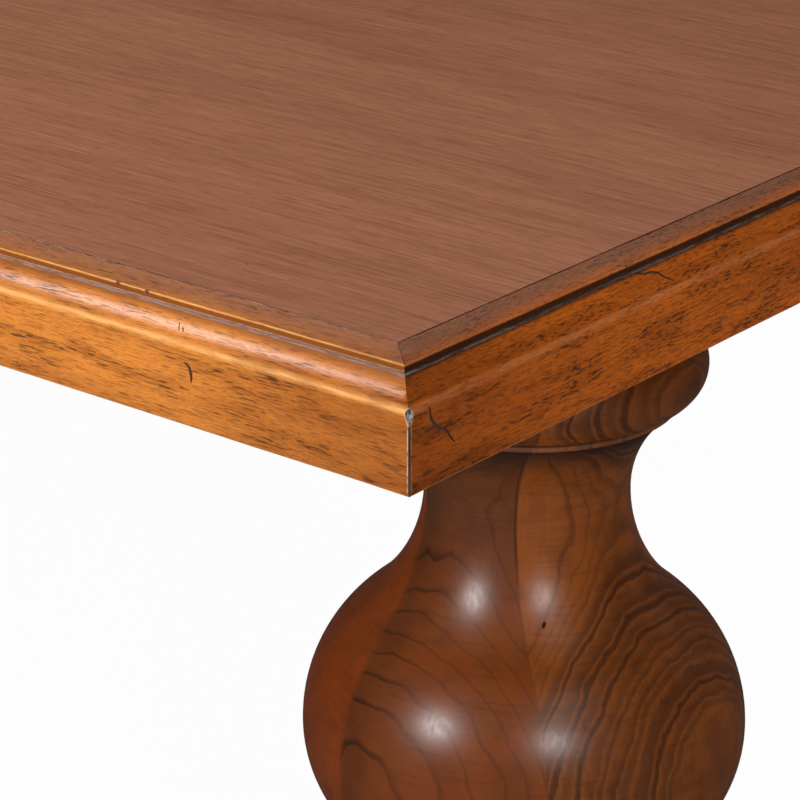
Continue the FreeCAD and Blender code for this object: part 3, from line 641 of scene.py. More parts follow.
    def open_joints(self, graph: Graph, wood, place, patchy) -> bpy.types.NodeSocket:
        """Darken the mitre, its slot and the cuts in the lower face, and bare the slot's edges.

        Args:
            graph: Graph of the finish.
            wood: Colour so far.
            place: Coordinates with the grain along X.
            patchy: Noise that breaks up the wear.

        Returns:
            The colour with its joints and cuts.
        """
        axes = graph.axes(place)
        depth = graph.less(self.half_across, graph.sum("ABSOLUTE", axes[1]))
        end = graph.less(self.half_along, graph.sum("ABSOLUTE", axes[0]))
        below_arris = graph.span(axes[2], *(self.arris - away for away in self.gash_top))
        over_foot = graph.span(axes[2], *(self.foot + away for away in self.gash_foot))
        face = graph.times(below_arris, over_foot)
        lower = graph.span(axes[2], *(self.arris - away for away in self.slot_top))
        bared = graph.times(graph.span(end, *self.bared_span), graph.span(patchy, 0.35, 0.60, 0.10, 1.0))
        wood = graph.tint(wood, self.bared, graph.times(bared, lower), 0.7 * self.edge_wear_sheen)
        inside = graph.times(graph.span(depth, *self.gash_skin), graph.span(depth, *self.gash_floor))
        wood = graph.mix(graph.times(inside, face), wood, self.cut)
        seam = graph.span(graph.sum("ABSOLUTE", graph.less(end, depth)), *self.seam_span)
        wood = graph.tint(wood, self.glaze, seam, 0.6)
        wood = graph.mix(graph.span(graph.mark("scratch"), 0.25, 0.60), wood, self.scratch)
        slot = graph.times(graph.span(end, *self.slot_span), lower)
        return graph.mix(slot, wood, self.groove)

    def break_edges(self, graph: Graph, wood, spot) -> bpy.types.NodeSocket:
        """Darken the pits and show crumbled wood in the chip at the corner.

        Args:
            graph: Graph of the finish.
            wood: Colour so far.
            spot: Object coordinates.

        Returns:
            The aged colour.
        """
        for pit in self.pits:
            near = graph.nearness(spot, pit, self.pit_reach)
            wood = graph.mix(graph.span(near, 1.15, 0.85), wood, self.cut)
        away = graph.nearness(spot, self.chip_place, self.chip_reach)
        rim = graph.times(graph.span(away, 1.28, 1.10), self.edge_wear_sheen)
        wood = graph.tint(wood, self.bared, rim, 0.40)
        crumbs = graph.span(graph.grained(spot, self.crumb_stretch), 0.35, 0.62, 0.10, 1.0)
        return graph.mix(graph.span(away, 1.06, 0.98), wood, graph.mix(crumbs, self.glaze, self.chip))


@dataclass(frozen=True)
class FieldFinish:
    """Fine straight-grained reddish veneer of the top; lengths in metres, stretches in cells per metre."""

    name: str
    spot: Place
    light: Colour = (0.324, 0.133, 0.073)
    deep: Colour = (0.192, 0.069, 0.038)
    pore: Colour = (0.070, 0.024, 0.013)
    glaze: Colour = (0.045, 0.022, 0.014)
    spot_reach: Place = (0.9 * MM, 0.9 * MM, 0.9 * MM)
    streak_stretch: Place = (19, 480, 480)
    band_stretch: Place = (2.2, 26, 26)
    dash_stretch: Place = (70, 950, 950)
    rough: Point = (0.36, 0.43)
    gloss: float = 0.06
    bump: float = 0.02 * MM

    def build(self) -> bpy.types.Material:
        """Make the material.

        Returns:
            The material.
        """
        graph = Graph(bpy.data.materials.new(self.name))
        place = graph.place()
        streaks = graph.grained(place, self.streak_stretch, 4.0, 0.68)
        bands = graph.grained(place, self.band_stretch)
        wood = graph.ramp(graph.blend(streaks, 0.74, bands, 0.26), (0.32, self.deep), (0.66, self.light))
        dashes = graph.span(graph.grained(place, self.dash_stretch, 1.0), 0.58, 0.70)
        wood = graph.tint(wood, self.pore, dashes, 0.30)
        wood = graph.mix(graph.mark("glaze"), wood, self.glaze)
        near = graph.nearness(place, self.spot, self.spot_reach)
        wood = graph.mix(graph.span(near, 1.2, 0.8, 0.0, 0.6), wood, self.glaze)
        height = graph.less(graph.times(streaks, 0.2), dashes)
        rough = graph.span(bands, *NOISE_SPAN, *self.rough)
        return graph.finish(wood, rough, height, self.bump, Specular_IOR_Level=self.gloss)


@dataclass(frozen=True)
class TurnedFinish:
    """Walnut-brown turned wood, glued up of boards whose flat growth rings the turning cuts through.

    Lengths are in metres, ways in degrees round the axis. A span runs along a board's way, a rise up the
    column. A stretch counts the cells of a noise in a metre.
    """

    name: str
    axis: Place
    turn: float
    dents: Sequence[Place]
    dent_reach: Place
    light: Colour = (0.236, 0.058, 0.004)
    middle: Colour = (0.172, 0.037, 0.002)
    dark: Colour = (0.022, 0.007, 0.003)
    side: Colour = (0.160, 0.034, 0.003)
    outer: Colour = (0.192, 0.034, 0.001)
    # Colour of the painted shade on the column.
    shade_tone: Colour = (0.052, 0.024, 0.010)
    # Colour of the painted shade round the bead, also laid in the dents.
    glaze: Colour = (0.018, 0.008, 0.004)
    # Colour of the painted highlight on the bead.
    rubbed: Colour = (0.300, 0.080, 0.010)
    ring: float = 5.4 * MM
    ring_way: float = 6.4
    side_ring: float = 10.5 * MM
    side_ring_way: float = -98.6
    side_joint: float = 25.5 * MM
    side_joint_way: float = -127.6
    side_blend: float = 0.2 * MM
    outer_joint: float = 41.0 * MM
    outer_joint_way: float = 179.4
    outer_blend: float = 4 * MM
    fibre_stretch: Place = (420, 420, 9)
    lathe_stretch: Place = (26, 26, 460)
    sway_stretch: Place = (11, 11, 8)
    ripple_stretch: Place = (46, 46, 38)
    layer_stretch: float = 95.0
    sway: float = 16 * MM
    ripple: float = 7 * MM
    seam_span: Point = (1.8 * MM, 0.2 * MM)
    seam_rise: Point = (405 * MM, 440 * MM)
    heart_span: Point = (50 * MM, 55 * MM)
    pale_span: Point = (56 * MM, 105 * MM)
    # Painted shade towards one side of the front board.
    front_shade_span: Point = (64 * MM, 84 * MM)
    soft_span: Point = (62 * MM, 76 * MM)
    strong_span: Point = (58 * MM, 76 * MM)
    # Painted shade towards the side board's outer joint and at the top of the neck.
    side_shade_span: Point = (-8 * MM, 38 * MM)
    side_shade_rise: Point = (385 * MM, 455 * MM)
    side_line_span: Point = (-20 * MM, 41 * MM)
    rough: Point = (0.30, 0.35)
    gloss: float = 0.44
    bump: float = 0.005 * MM

    def build(self) -> bpy.types.Material:
        """Make the material.

        Returns:
            The material.
        """
        graph = Graph(bpy.data.materials.new(self.name))
        whole = graph.place()
        place = graph.mapped(whole, turn=self.turn, origin=self.axis)
        fibres = graph.grained(place, self.fibre_stretch)
        lathe = graph.grained(place, self.lathe_stretch, 3.0, 0.6)
        sway = graph.grained(place, self.sway_stretch, 2.0)
        ripple = graph.grained(place, self.ripple_stretch, 2.0)
        wander = graph.blend(graph.less(sway, 0.5), self.sway, graph.less(ripple, 0.5), self.ripple)
        wood = self.boards(graph, place, wander, fibres, lathe)
        turned = graph.span(lathe, 0.42, 0.74, 0.0, 0.24)
        rippled = graph.span(ripple, 0.40, 0.70, 0.0, 0.20)
        wood = graph.mix(graph.plus(turned, rippled), wood, self.dark)
        joint = graph.less(self.reach(graph, place, self.side_joint_way), self.side_joint)
        seam = graph.span(graph.sum("ABSOLUTE", joint), *self.seam_span, 0.0, 0.6)
        risen = graph.span(graph.axes(place)[2], *self.seam_rise, 0.08, 1.0)
        wood = graph.mix(graph.times(seam, risen), wood, self.dark)
        bead = graph.mark("bead")
        glaze = graph.mark("glaze")
        # Painted highlight: the bead is lightened where it catches the light.
        wood = graph.tint(wood, self.rubbed, bead, 0.2)
        # Painted shade in the crease over the bead and under it below the collar.
        wood = graph.mix(glaze, wood, self.glaze)
        for dent in self.dents:
            near = graph.nearness(whole, dent, self.dent_reach)
            wood = graph.mix(graph.span(near, 1.1, 0.8), wood, self.glaze)
        matt = graph.times(graph.sum("MAXIMUM", glaze, bead), 0.3)
        rough = graph.plus(graph.span(fibres, *NOISE_SPAN, *self.rough), matt)
        return graph.finish(wood, rough, fibres, self.bump, Specular_IOR_Level=self.gloss)

    def boards(self, graph: Graph, place, wander, fibres, lathe) -> bpy.types.NodeSocket:
        """Lay the three boards of the column side by side.

        Args:
            graph: Graph of the finish.
            place: Coordinates from the column's axis.
            wander: Waviness of the rings, in metres.
            fibres: Fine noise along the column.
            lathe: Fine noise round the column.

        Returns:
            The colour.
        """
        front = self.front_board(graph, place, wander, fibres)
        side = self.side_board(graph, place, wander, lathe)
        outer = graph.mix(graph.span(fibres, 0.35, 0.65, 0.0, 0.18), self.outer, self.dark)
        on_side = self.beyond(graph, place, self.side_joint_way, self.side_joint, self.side_blend)
        on_outer = self.beyond(graph, place, self.outer_joint_way, self.outer_joint, self.outer_blend)
        return graph.mix(on_outer, graph.mix(on_side, front, side), outer)

    def reach(self, graph: Graph, place, way: float) -> bpy.types.NodeSocket:
        """Distance from the axis along a compass way in degrees."""
        pointer = (math.cos(math.radians(way)), math.sin(math.radians(way)), 0.0)
        inputs = {0: place, 1: pointer}
        return graph.add("ShaderNodeVectorMath", inputs, operation="DOT_PRODUCT").outputs["Value"]

    def beyond(self, graph: Graph, place, way: float, joint: float, blend: float) -> bpy.types.NodeSocket:
        """One on the far side of a glue joint, nought on the near side, blended over a distance."""
        return graph.span(self.reach(graph, place, way), joint - blend, joint + blend)

    def front_board(self, graph: Graph, place, wander, fibres) -> bpy.types.NodeSocket:
        """Plain at its heart, with wavy dark rings and painted shade towards its outside.

        Args:
            graph: Graph of the finish.
            place: Coordinates from the column's axis.
            wander: Waviness of the rings, in metres.
            fibres: Fine noise along the column.

        Returns:
            The colour.
        """
        straight = self.reach(graph, place, self.ring_way)
        away = graph.plus(straight, wander)
        broad = graph.layers(graph.times(away, self.layer_stretch), 1.0)
        phase = graph.plus(graph.sum("DIVIDE", away, self.ring), graph.times(broad, 1.6))
        within = graph.sum("FRACT", phase)
        number = {"W": graph.sum("FLOOR", phase)}
        lot = graph.add("ShaderNodeTexWhiteNoise", number, noise_dimensions="1D").outputs["Value"]
        wood = graph.ramp(graph.blend(broad, 0.45, fibres, 0.55), (0.36, self.middle), (0.64, self.light))
        wood = graph.mix(graph.span(away, *self.pale_span, 0.65, 0.20), wood, self.light)
        # Painted shade: darker towards the board's side.
        wood = graph.mix(graph.span(straight, *self.front_shade_span, 0.0, 0.26), wood, self.shade_tone)
        soft = graph.times(graph.span(within, 0.06, 0.58), graph.span(within, 1.0, 0.82))
        thin = graph.times(graph.span(within, 0.56, 0.82), graph.span(within, 1.0, 0.86))
        soft = graph.times(soft, graph.span(straight, *self.soft_span))
        thin = graph.times(thin, graph.span(straight, *reversed(self.soft_span)))
        late = graph.times(graph.sum("MAXIMUM", soft, thin), graph.span(lot, 0.0, 1.0, 0.45, 1.0))
        heart = graph.span(away, *self.heart_span, 1.0, 0.0)
        strength = graph.span(straight, *self.strong_span, 0.46, 0.68)
        strength = graph.times(strength, graph.span(heart, 0.0, 1.0, 1.0, 0.10))
        return graph.mix(graph.times(late, strength), wood, self.dark)

    def side_board(self, graph: Graph, place, wander, lathe) -> bpy.types.NodeSocket:
        """Reddish, with thin ring lines that darken towards its outer joint, and painted shade towards that
        joint and the top of the neck.

        Args:
            graph: Graph of the finish.
            place: Coordinates from the column's axis.
            wander: Waviness of the rings, in metres.
            lathe: Fine noise round the column.

        Returns:
            The colour.
        """
        away = graph.plus(self.reach(graph, place, self.side_ring_way), graph.times(wander, 0.9))
        within = graph.sum("FRACT", graph.sum("DIVIDE", away, self.side_ring))
        line = graph.times(graph.span(within, 0.78, 0.96), graph.span(within, 1.0, 0.98))
        edge = self.reach(graph, place, self.outer_joint_way)
        rise = graph.axes(place)[2]
        wood = graph.mix(graph.span(lathe, 0.35, 0.65, 0.0, 0.5), self.side, self.middle)
        # Painted shade: darker towards the outer joint and towards the top of the neck.
        wood = graph.mix(graph.span(edge, *self.side_shade_span, 0.0, 0.40), wood, self.dark)
        wood = graph.mix(graph.span(rise, *self.side_shade_rise, 0.0, 0.45), wood, self.shade_tone)
        strength = graph.span(edge, *self.side_line_span, 0.30, 0.80)
        return graph.mix(graph.times(line, strength), wood, self.dark)


@dataclass(frozen=True)
class SawnFinish:
    """Stained and lacquered solid wood of the legs, hubs and caps, grain along one way."""

    name: str
    grain: Grain
    light: Colour = (0.215, 0.058, 0.009)
    deep: Colour = (0.105, 0.026, 0.004)
    pore: Colour = (0.030, 0.010, 0.004)
    sway_stretch: Place = (3, 9, 9)
    fibre_stretch: Place = (7, 300, 300)
    layer_stretch: Point = (95.0, 210.0)
    layer_sway: float = 9.0
    pore_length: float = 8 * MM
    pore_width: float = 1.1 * MM
    rough: Point = (0.30, 0.38)
    gloss: float = 0.22
    bump: float = 0.04 * MM

    def build(self) -> bpy.types.Material:
        """Make the material.

        Returns:
            The material.
        """
        graph = Graph(bpy.data.materials.new(self.name))
        place = graph.mapped(graph.place(), turn=self.grain.value)
        sway = graph.grained(place, self.sway_stretch, 2.0)
        axes = graph.axes(place)
        layer = graph.blend(axes[1], self.layer_stretch[0], axes[2], self.layer_stretch[1])
        rings = graph.layers(graph.plus(layer, graph.times(sway, self.layer_sway)), 2.0)
        fibres = graph.grained(place, self.fibre_stretch, 4.0, 0.6)
        wood = graph.ramp(graph.blend(rings, 0.6, fibres, 0.4), (0.33, self.deep), (0.66, self.light))
        flecks = graph.pores(place, self.pore_length, self.pore_width, 0.5)
        wood = graph.tint(wood, self.pore, flecks, 0.6)
        height = graph.less(graph.times(fibres, 0.2), flecks)
        rough = graph.span(fibres, *NOISE_SPAN, *self.rough)
        return graph.finish(wood, rough, height, self.bump, Specular_IOR_Level=self.gloss)


@dataclass(frozen=True)
class RawFinish:
    """Planed, unlacquered wood of the hidden pieces."""

    name: str
    grain: Grain
    light: Colour = (0.60, 0.43, 0.26)
    deep: Colour = (0.43, 0.28, 0.15)
    band_stretch: Place = (1.6, 32, 32)
    fibre_stretch: Place = (9, 330, 330)
    rough: Point = (0.6, 0.72)
    bump: float = 0.05 * MM

    def build(self) -> bpy.types.Material:
        """Make the material.

        Returns:
            The material.
        """
        graph = Graph(bpy.data.materials.new(self.name))
        place = graph.mapped(graph.place(), turn=self.grain.value)
        bands = graph.grained(place, self.band_stretch)
        fibres = graph.grained(place, self.fibre_stretch, 4.0, 0.6)
        wood = graph.ramp(graph.blend(bands, 0.55, fibres, 0.45), (0.34, self.deep), (0.66, self.light))
        return graph.finish(wood, graph.span(fibres, *NOISE_SPAN, *self.rough), fibres, self.bump)


@dataclass(frozen=True)
class BoardFinish:
    """Fibreboard of the core: felted and speckled, with no grain."""

    name: str
    light: Colour = (0.47, 0.34, 0.21)
    deep: Colour = (0.34, 0.23, 0.13)
    felt_stretch: float = 900.0
    rough: float = 0.8
    bump: float = 0.05 * MM

    def build(self) -> bpy.types.Material:
        """Make the material.

        Returns:
            The material.
        """
        graph = Graph(bpy.data.materials.new(self.name))
        felt = graph.noise(graph.place(), self.felt_stretch, 4.0, 0.7)
        colour = graph.ramp(felt, (0.35, self.deep), (0.65, self.light))
        return graph.finish(colour, self.rough, felt, self.bump)


@dataclass(frozen=True)
class MetalFinish:
    """Plated or painted steel, faintly mottled."""

    name: str
    light: Colour
    deep: Colour
    metallic: float
    rough: Point
    mottle_stretch: float = 260.0
    bump: float = 0.02 * MM

    def build(self) -> bpy.types.Material:
        """Make the material.

        Returns:
            The material.
        """
        graph = Graph(bpy.data.materials.new(self.name))
        mottle = graph.noise(graph.place(), self.mottle_stretch, 4.0, 0.6)
        colour = graph.ramp(mottle, (0.35, self.deep), (0.65, self.light))
        rough = graph.span(mottle, *NOISE_SPAN, *self.rough)
        return graph.finish(colour, rough, mottle, self.bump, Metallic=self.metallic)


@dataclass(frozen=True)
class NylonFinish:
    """Dark moulded nylon of the glides, finely grained."""

    name: str
    light: Colour = (0.050, 0.043, 0.038)
    deep: Colour = (0.026, 0.022, 0.020)
    grain_stretch: float = 2600.0
    rub_stretch: Place = (60, 60, 200)
    rough: Point = (0.42, 0.6)
    bump: float = 0.02 * MM

    def build(self) -> bpy.types.Material:
        """Make the material.

        Returns:
            The material.
        """
        graph = Graph(bpy.data.materials.new(self.name))
        place = graph.place()
        grain = graph.noise(place, self.grain_stretch, 2.0)
        rub = graph.grained(place, self.rub_stretch)
        low, high = NOISE_SPAN
        colour = graph.ramp(rub, (low, self.deep), (high, self.light))
        return graph.finish(colour, graph.span(rub, low, high, *self.rough), grain, self.bump)


def keep(piece: bpy.types.Object, slot: str, finish: bpy.types.Material, *nodes: str) -> bpy.types.Object:
    """Dress a new piece, stand it in for its CAD nodes and let it ride on the table.

    Args:
        piece: The finished piece.
        slot: The record's material slot; not used.
        finish: Its material.
        nodes: CAD nodes that it replaces.

    Returns:
        The piece.
    """
    piece.data.materials.clear()
    piece.data.materials.append(finish)
    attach(piece, BODY)
    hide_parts(*nodes)
    LOG.info("piece %s: %d faces", piece.name, len(piece.data.polygons))
    return piece


@dataclass(frozen=True)
class EdgeMarks:
    """Where painted shade, glaze, painted reflections, rubbing and painted highlights lie on the section of
    a moulding, in millimetres from its corners.

    A fade gives the distance where a mark ends, then the one up to which it is full.
    """

    quirk_span: Point = (2.0, 1.3)
    quirk_fade: Point = (0.8, 0.3)
    joint_share: float = 0.6
    joint_depth: float = 1.5
    step_reach: float = 0.7
    step_top: float = 0.9
    hollow_edge: Point = (0.5, 0.4)
    quirk_shade_near: float = 1.0
    strip_depth: float = 0.5
    lip_width: float = 2.1
    lip_strip_share: float = 0.45
    lip_place: float = 0.3
    lip_fade: Point = (0.6, 0.3)
    lip_worn_sheen_share: float = 0.8
    nose_place: float = 0.6
    nose_fade: Point = (3.2, 1.0)
    foot_place: float = 0.5
    foot_fade: Point = (1.1, 0.5)
    scratch_depth_share: float = 0.7
    scratch_span: Point = (2.0, 1.4)
    scratch_margin: float = 0.8


@dataclass
class FramedTop:
    """Veneered field inside four mitred mouldings, in millimetres."""

    length: float = 2134.0
    width: float = 1016.0
    height: float = 762.0
    moulding_width: float = 36.0
    moulding_depth: float = 58.0
    strip_width: float = 20.8
    strip_round: float = 0.8
    strip_lines: Point = (8.0, 1.2)
    step_drop: float = 3.6
    step_line: float = 0.5
    quirk_round: float = 1.0
    ledge_width: float = 2.2
    lower_face: float = 43.0
    face_lines: Point = (12.0, 24.0)
    hollow_radius: float = 20.0
    arris_round: float = 1.6
    nose_share: float = 1.45
    foot_round: float = 2.0
    groove_reach: float = 11.15
    groove_top: float = -12.85
    groove_depth: float = 8.3
    hollow_steps: int = 16
    nose_steps: int = 6
    round_steps: int = 5
    quirk_steps: int = 4
    step_length: float = 9.0
    veneer_depth: float = 1.0
    joint_gap: float = 0.25
    joint_bevel: float = 0.3
    joint_steps: int = 3
    joint_line: float = 0.5
    joint_glaze: float = 0.9
    joint_glaze_share: float = 0.8
    slot_round: float = 1.1
    slot_steps: int = 5
    slot_top: float = 1.0
    slot_reach: float = 0.05
    eased: float = 0.12
    eased_steps: int = 2
    eased_angle: float = 40.0
    smooth_angle: float = 35.0
    field_smooth_angle: float = 10.0
    wander: float = 0.4
    wander_size: float = 35.0
    wander_fade: Point = (20.0, 4.0)
    edge_marks: EdgeMarks = EdgeMarks()
    chip_reach: Place = (2.2, 2.2, 7.6)
    chip_place: Place = (1066.5, -507.5, 749.2)
    chip_uneven: float = 0.35
    gash_depth: float = 1.0
    crack_line: tuple[Point, ...] = (
        (-493.4, 745.6), (-492.7, 742.0), (-491.9, 738.6), (-489.6, 735.1), (-486.6, 732.6),
        (-483.2, 731.6), (-480.4, 729.2), (-477.9, 725.9), (-474.1, 721.6))
    crack_widths: tuple[float, ...] = (0.9, 1.2, 1.6, 1.7, 1.3, 1.5, 1.2, 0.9, 0.3)
    dent_line: tuple[Point, ...] = (
        (927.0, 737.6), (929.0, 737.1), (930.5, 735.7), (931.4, 733.0), (931.6, 730.4), (931.1, 727.9))
    dent_widths: tuple[float, ...] = (0.5, 1.2, 1.7, 1.9, 1.4, 0.4)
    scratch_line: tuple[Point, ...] = (
        (-312.2, 1.0), (-304.0, 3.3), (-298.6, 3.8), (-293.8, 5.6), (-291.5, 8.6), (-287.1, 12.4))
    scratch_widths: tuple[float, ...] = (0.5, 1.0, 1.1, 1.2, 1.0, 0.4)
    stroke_lines: tuple[tuple[Point, ...], ...] = (
        ((915.7, 6.5), (916.9, 8.4), (918.4, 10.7)), ((918.8, 8.0), (919.9, 9.2), (920.8, 10.3)))
    stroke_widths: tuple[float, ...] = (0.3, 0.7, 0.3)
    long_pits: tuple[Place, ...] = ((869.6, -492.6, 762.0), (889.3, -492.6, 762.0))
    across_pits: tuple[Place, ...] = ((1051.4, -314.5, 762.0),)
    pit_reach: Place = (1.4, 1.4, 1.2)
    pit_uneven: float = 0.15
    spot_place: Place = (901.7, -432.5, 762.0)
    spot_reach: Place = (0.8, 0.8, 0.4)
    spot_uneven: float = 0.1
    # How far the painted shade under the quirk runs into the hollow.
    long_quirk_shade: float = 5.0
    across_quirk_shade: float = 2.6

    @property
    def inset(self) -> float:
        """Distance of the step from the outer face."""
        return self.moulding_width - self.strip_width

    @property
    def arris(self) -> float:
        """Height of the arris from the top."""
        return self.lower_face - self.moulding_depth

    @property
    def ledge(self) -> Vector:
        """Upper end of the hollow in the section."""
        return Vector((self.inset - self.ledge_width, -self.step_drop))

    def section(self) -> list[Point]:
        """Outline of a moulding.

        Returns:
            Distances in from the outer face and heights from the top.
        """
        inset = self.inset
        arris = self.arris
        foot = -self.moulding_depth
        inner = self.moulding_width
        hollow = arc(self.ledge, (0.0, arris), self.hollow_radius, -1, self.hollow_steps)
        before = Vector(hollow[-2]) - Vector(hollow[-1])
        lip = Vector(hollow[-1]) + before.normalized() * self.arris_round
        nose_end = (0.0, arris - self.arris_round)
        nose = arc((lip.x, lip.y), nose_end, self.arris_round * self.nose_share, 1, self.nose_steps)
        crown_start = (inset + self.strip_round, 0.0)
        crown = arc(crown_start, (inset, -self.strip_round), self.strip_round, 1, self.round_steps)
        quirk_start = (inset, self.quirk_round - self.step_drop)
        quirk_end = (inset - self.quirk_round, -self.step_drop)
        quirk = arc(quirk_start, quirk_end, self.quirk_round, -1, self.quirk_steps)
        foot_start = (0.0, foot + self.foot_round)
        groove = inner - self.groove_reach
        groove_base = self.groove_top - self.groove_depth
        return chain(
            [(inner, 0.0), (inner - self.joint_line, 0.0), (inner - self.strip_lines[0], 0.0)],
            [(crown_start[0] + self.strip_lines[1], 0.0)],
            crown,
            [(inset, -self.strip_round - self.step_line)],
            quirk,
            hollow[:-2],
            nose,
            [(0.0, arris - 2 * self.arris_round)],
            [(0.0, arris - line) for line in self.face_lines],
            arc(foot_start, (self.foot_round, foot), self.foot_round, 1, self.round_steps),
            [(inner, foot), (inner, groove_base), (groove, groove_base)],
            [(groove, self.groove_top), (inner, self.groove_top)],
        )

    def moulding(self, name: str, length: float) -> bpy.types.Object:
        """Draw the section, sweep it along X and saw both mitres; outer face at Y 0, top at Z 0.

        Args:
            name: Name of the piece.
            length: Its length, in millimetres.

        Returns:
            The piece.
        """
        half = length / 2 * MM
        points = [Vector((-half, across * MM, up * MM)) for across, up in self.section()]
        piece = Bench.draw(name, points)
        Bench.fill()
        Bench.sweep(Vector((2 * half, 0, 0)), round(length / self.step_length))
        for sign in (1, -1):
            Bench.saw(Vector((sign * half, 0, 0)), Vector((sign, 1, 0)).normalized())
        Bench.settle()
        self.open_mitres(piece, half)
        Bench.soften(piece, self.eased * MM, self.eased_steps, self.eased_angle)
        return piece

    def open_mitres(self, piece: bpy.types.Object, half: float) -> None:
        """Round the outer edge of both mitres below the arris, where the joint has opened into a slot.

        Args:
            piece: The moulding.
            half: Half its length, in metres.
        """
        top = (self.arris - self.slot_top) * MM
        near = self.slot_reach * MM

        def on_edge(spot: Vector) -> bool:
            """Whether a corner lies on a mitre's outer edge."""
            outer = spot.y < near and spot.z < top
            return outer and abs(half - abs(spot.x) - spot.y) < near

        Bench.hold(piece)
        bpy.ops.object.mode_set(mode="EDIT")
        bpy.ops.mesh.select_mode(type="EDGE")
        bpy.ops.mesh.select_all(action="DESELECT")
        bpy.ops.object.mode_set(mode="OBJECT")
        corners = piece.data.vertices
        for edge in piece.data.edges:
            edge.select = all(on_edge(corners[end].co) for end in edge.vertices)
        bpy.ops.object.mode_set(mode="EDIT")
        bpy.ops.mesh.bevel(
            offset=self.slot_round * MM, segments=self.slot_steps, affect="EDGES", clamp_overlap=False)
        bpy.ops.mesh.select_mode(type="VERT")
        Bench.settle()

    def weather(self, piece: bpy.types.Object, spot: Matrix, length: float) -> None:
        """Let the faces wander a little, as on a hand-rubbed edge, but not at the mitres.

        Args:
            piece: A moulding in its place.
            spot: The place.
            length: Length of the moulding, in millimetres.
        """
        Bench.hold(piece)
        group = piece.vertex_groups.new(name="rubbed")
        back = spot.inverted()
        for vertex in piece.data.vertices:
            local = back @ vertex.co / MM
            away = length / 2 - abs(local.x) - local.y
            group.add([vertex.index], 1.0 - fade(away, *self.wander_fade), "REPLACE")
        clouds = bpy.data.textures.new("hand_rubbing", "CLOUDS")
        clouds.noise_scale = self.wander_size * MM
        push = piece.modifiers.new("hand_rubbing", "DISPLACE")
        push.texture = clouds
        push.texture_coords = "GLOBAL"
        push.vertex_group = group.name
        push.strength = -self.wander * MM
        push.mid_level = 0.0
        bpy.ops.object.modifier_apply(modifier=push.name)
        bpy.data.textures.remove(clouds)
        piece.vertex_groups.clear()

    @staticmethod
    def trail(line: Sequence[Point], widths: Sequence[float]) -> list[Vector]:
        """Outline of a narrow mark.

        Args:
            line: Places along the middle of the mark, in millimetres.
            widths: Width of the mark at each place, in millimetres.

        Returns:
            Places round the mark.
        """
        spots = [Vector(spot) for spot in line]
        sides: tuple[list[Vector], list[Vector]] = ([], [])
        for number, (spot, width) in enumerate(zip(spots, widths)):
            way = spots[min(number + 1, len(spots) - 1)] - spots[max(number - 1, 0)]
            across = Vector((-way.y, way.x)).normalized() * width / 2
            sides[0].append(spot + across)
            sides[1].append(spot - across)
        return sides[0] + sides[1][::-1]

    def hollow_centre(self) -> Vector:
        """Middle of the hollow's arc in the section.

        Returns:
            Distance in from the outer face and height from the top.
        """
        chord = Vector((0.0, self.arris)) - self.ledge
        rise = math.sqrt(self.hollow_radius ** 2 - (chord.length / 2) ** 2)
        return self.ledge + chord / 2 + Vector((chord.y, -chord.x)).normalized() * rise

    def scratch(self, name: str, line: Sequence[Point], widths: Sequence[float],
                grain: Grain) -> bpy.types.Object:
        """Cutter of a mark down a hollow.

        Args:
            name: Name of the cutter.
            line: Places along the hollow and down it from the ledge, in millimetres.
            widths: Width of the mark at each place, in millimetres.
            grain: LONG for the front moulding, ACROSS for the right one.

        Returns:
            The cutter.
        """
        centre = self.hollow_centre()
        first = self.ledge - centre
        start = math.atan2(first.y, first.x)
        floor = self.hollow_radius + self.gash_depth
        points = []
        spokes = Vector((0.0, 0.0))
        for spot in self.trail(line, widths):
            turn = start - spot.y / self.hollow_radius
            spoke = Vector((math.cos(turn), math.sin(turn)))
            spokes += spoke
            deep = centre + spoke * floor
            up = self.height + deep.y
            if grain is Grain.LONG:
                points.append(Vector((spot.x, deep.x - self.width / 2, up)))
            else:
                points.append(Vector((self.length / 2 - deep.x, spot.x, up)))
        out = spokes.normalized()
        way = (0.0, -out.x, -out.y) if grain is Grain.LONG else (out.x, 0.0, -out.y)
        return self.gash(name, points, Vector(way))

    def gash(self, name: str, points: Sequence[Vector], out: Vector) -> bpy.types.Object:
        """Cutter of a narrow mark.

        Args:
            name: Name of the cutter.
            points: Outline of the mark's floor, in millimetres.
            out: Way out of the wood.

        Returns:
            The cutter.
        """
        cutter = Bench.draw(name, [point * MM for point in points])
        Bench.fill()
        Bench.sweep(out * 2 * self.gash_depth * MM, 1)
        Bench.settle()
        return cutter

    def marks_at(self, across: float, up: float, quirk_shade_reach: float) -> dict[str, float]:
        """Strength of each mark, painted shade and painted highlight included, at one place of the section.

        Args:
            across: Distance in from the outer face.
            up: Height from the top.
            quirk_shade_reach: How far the painted shade runs into the hollow.

        Returns:
            Each mark's strength.
        """
        edge_marks = self.edge_marks
        inset = self.inset
        centre = self.hollow_centre()
        outer, inner = (inset - away for away in edge_marks.quirk_span)
        quirk = math.hypot(across - min(max(across, outer), inner), up + self.step_drop)
        joint = across > self.moulding_width - self.joint_line * edge_marks.joint_share and up > -edge_marks.joint_depth
        step = abs(across - inset) < edge_marks.step_reach and -self.step_drop < up < -edge_marks.step_top
        hollow = across < inset - edge_marks.hollow_edge[0] and up < -self.step_drop + edge_marks.hollow_edge[1]
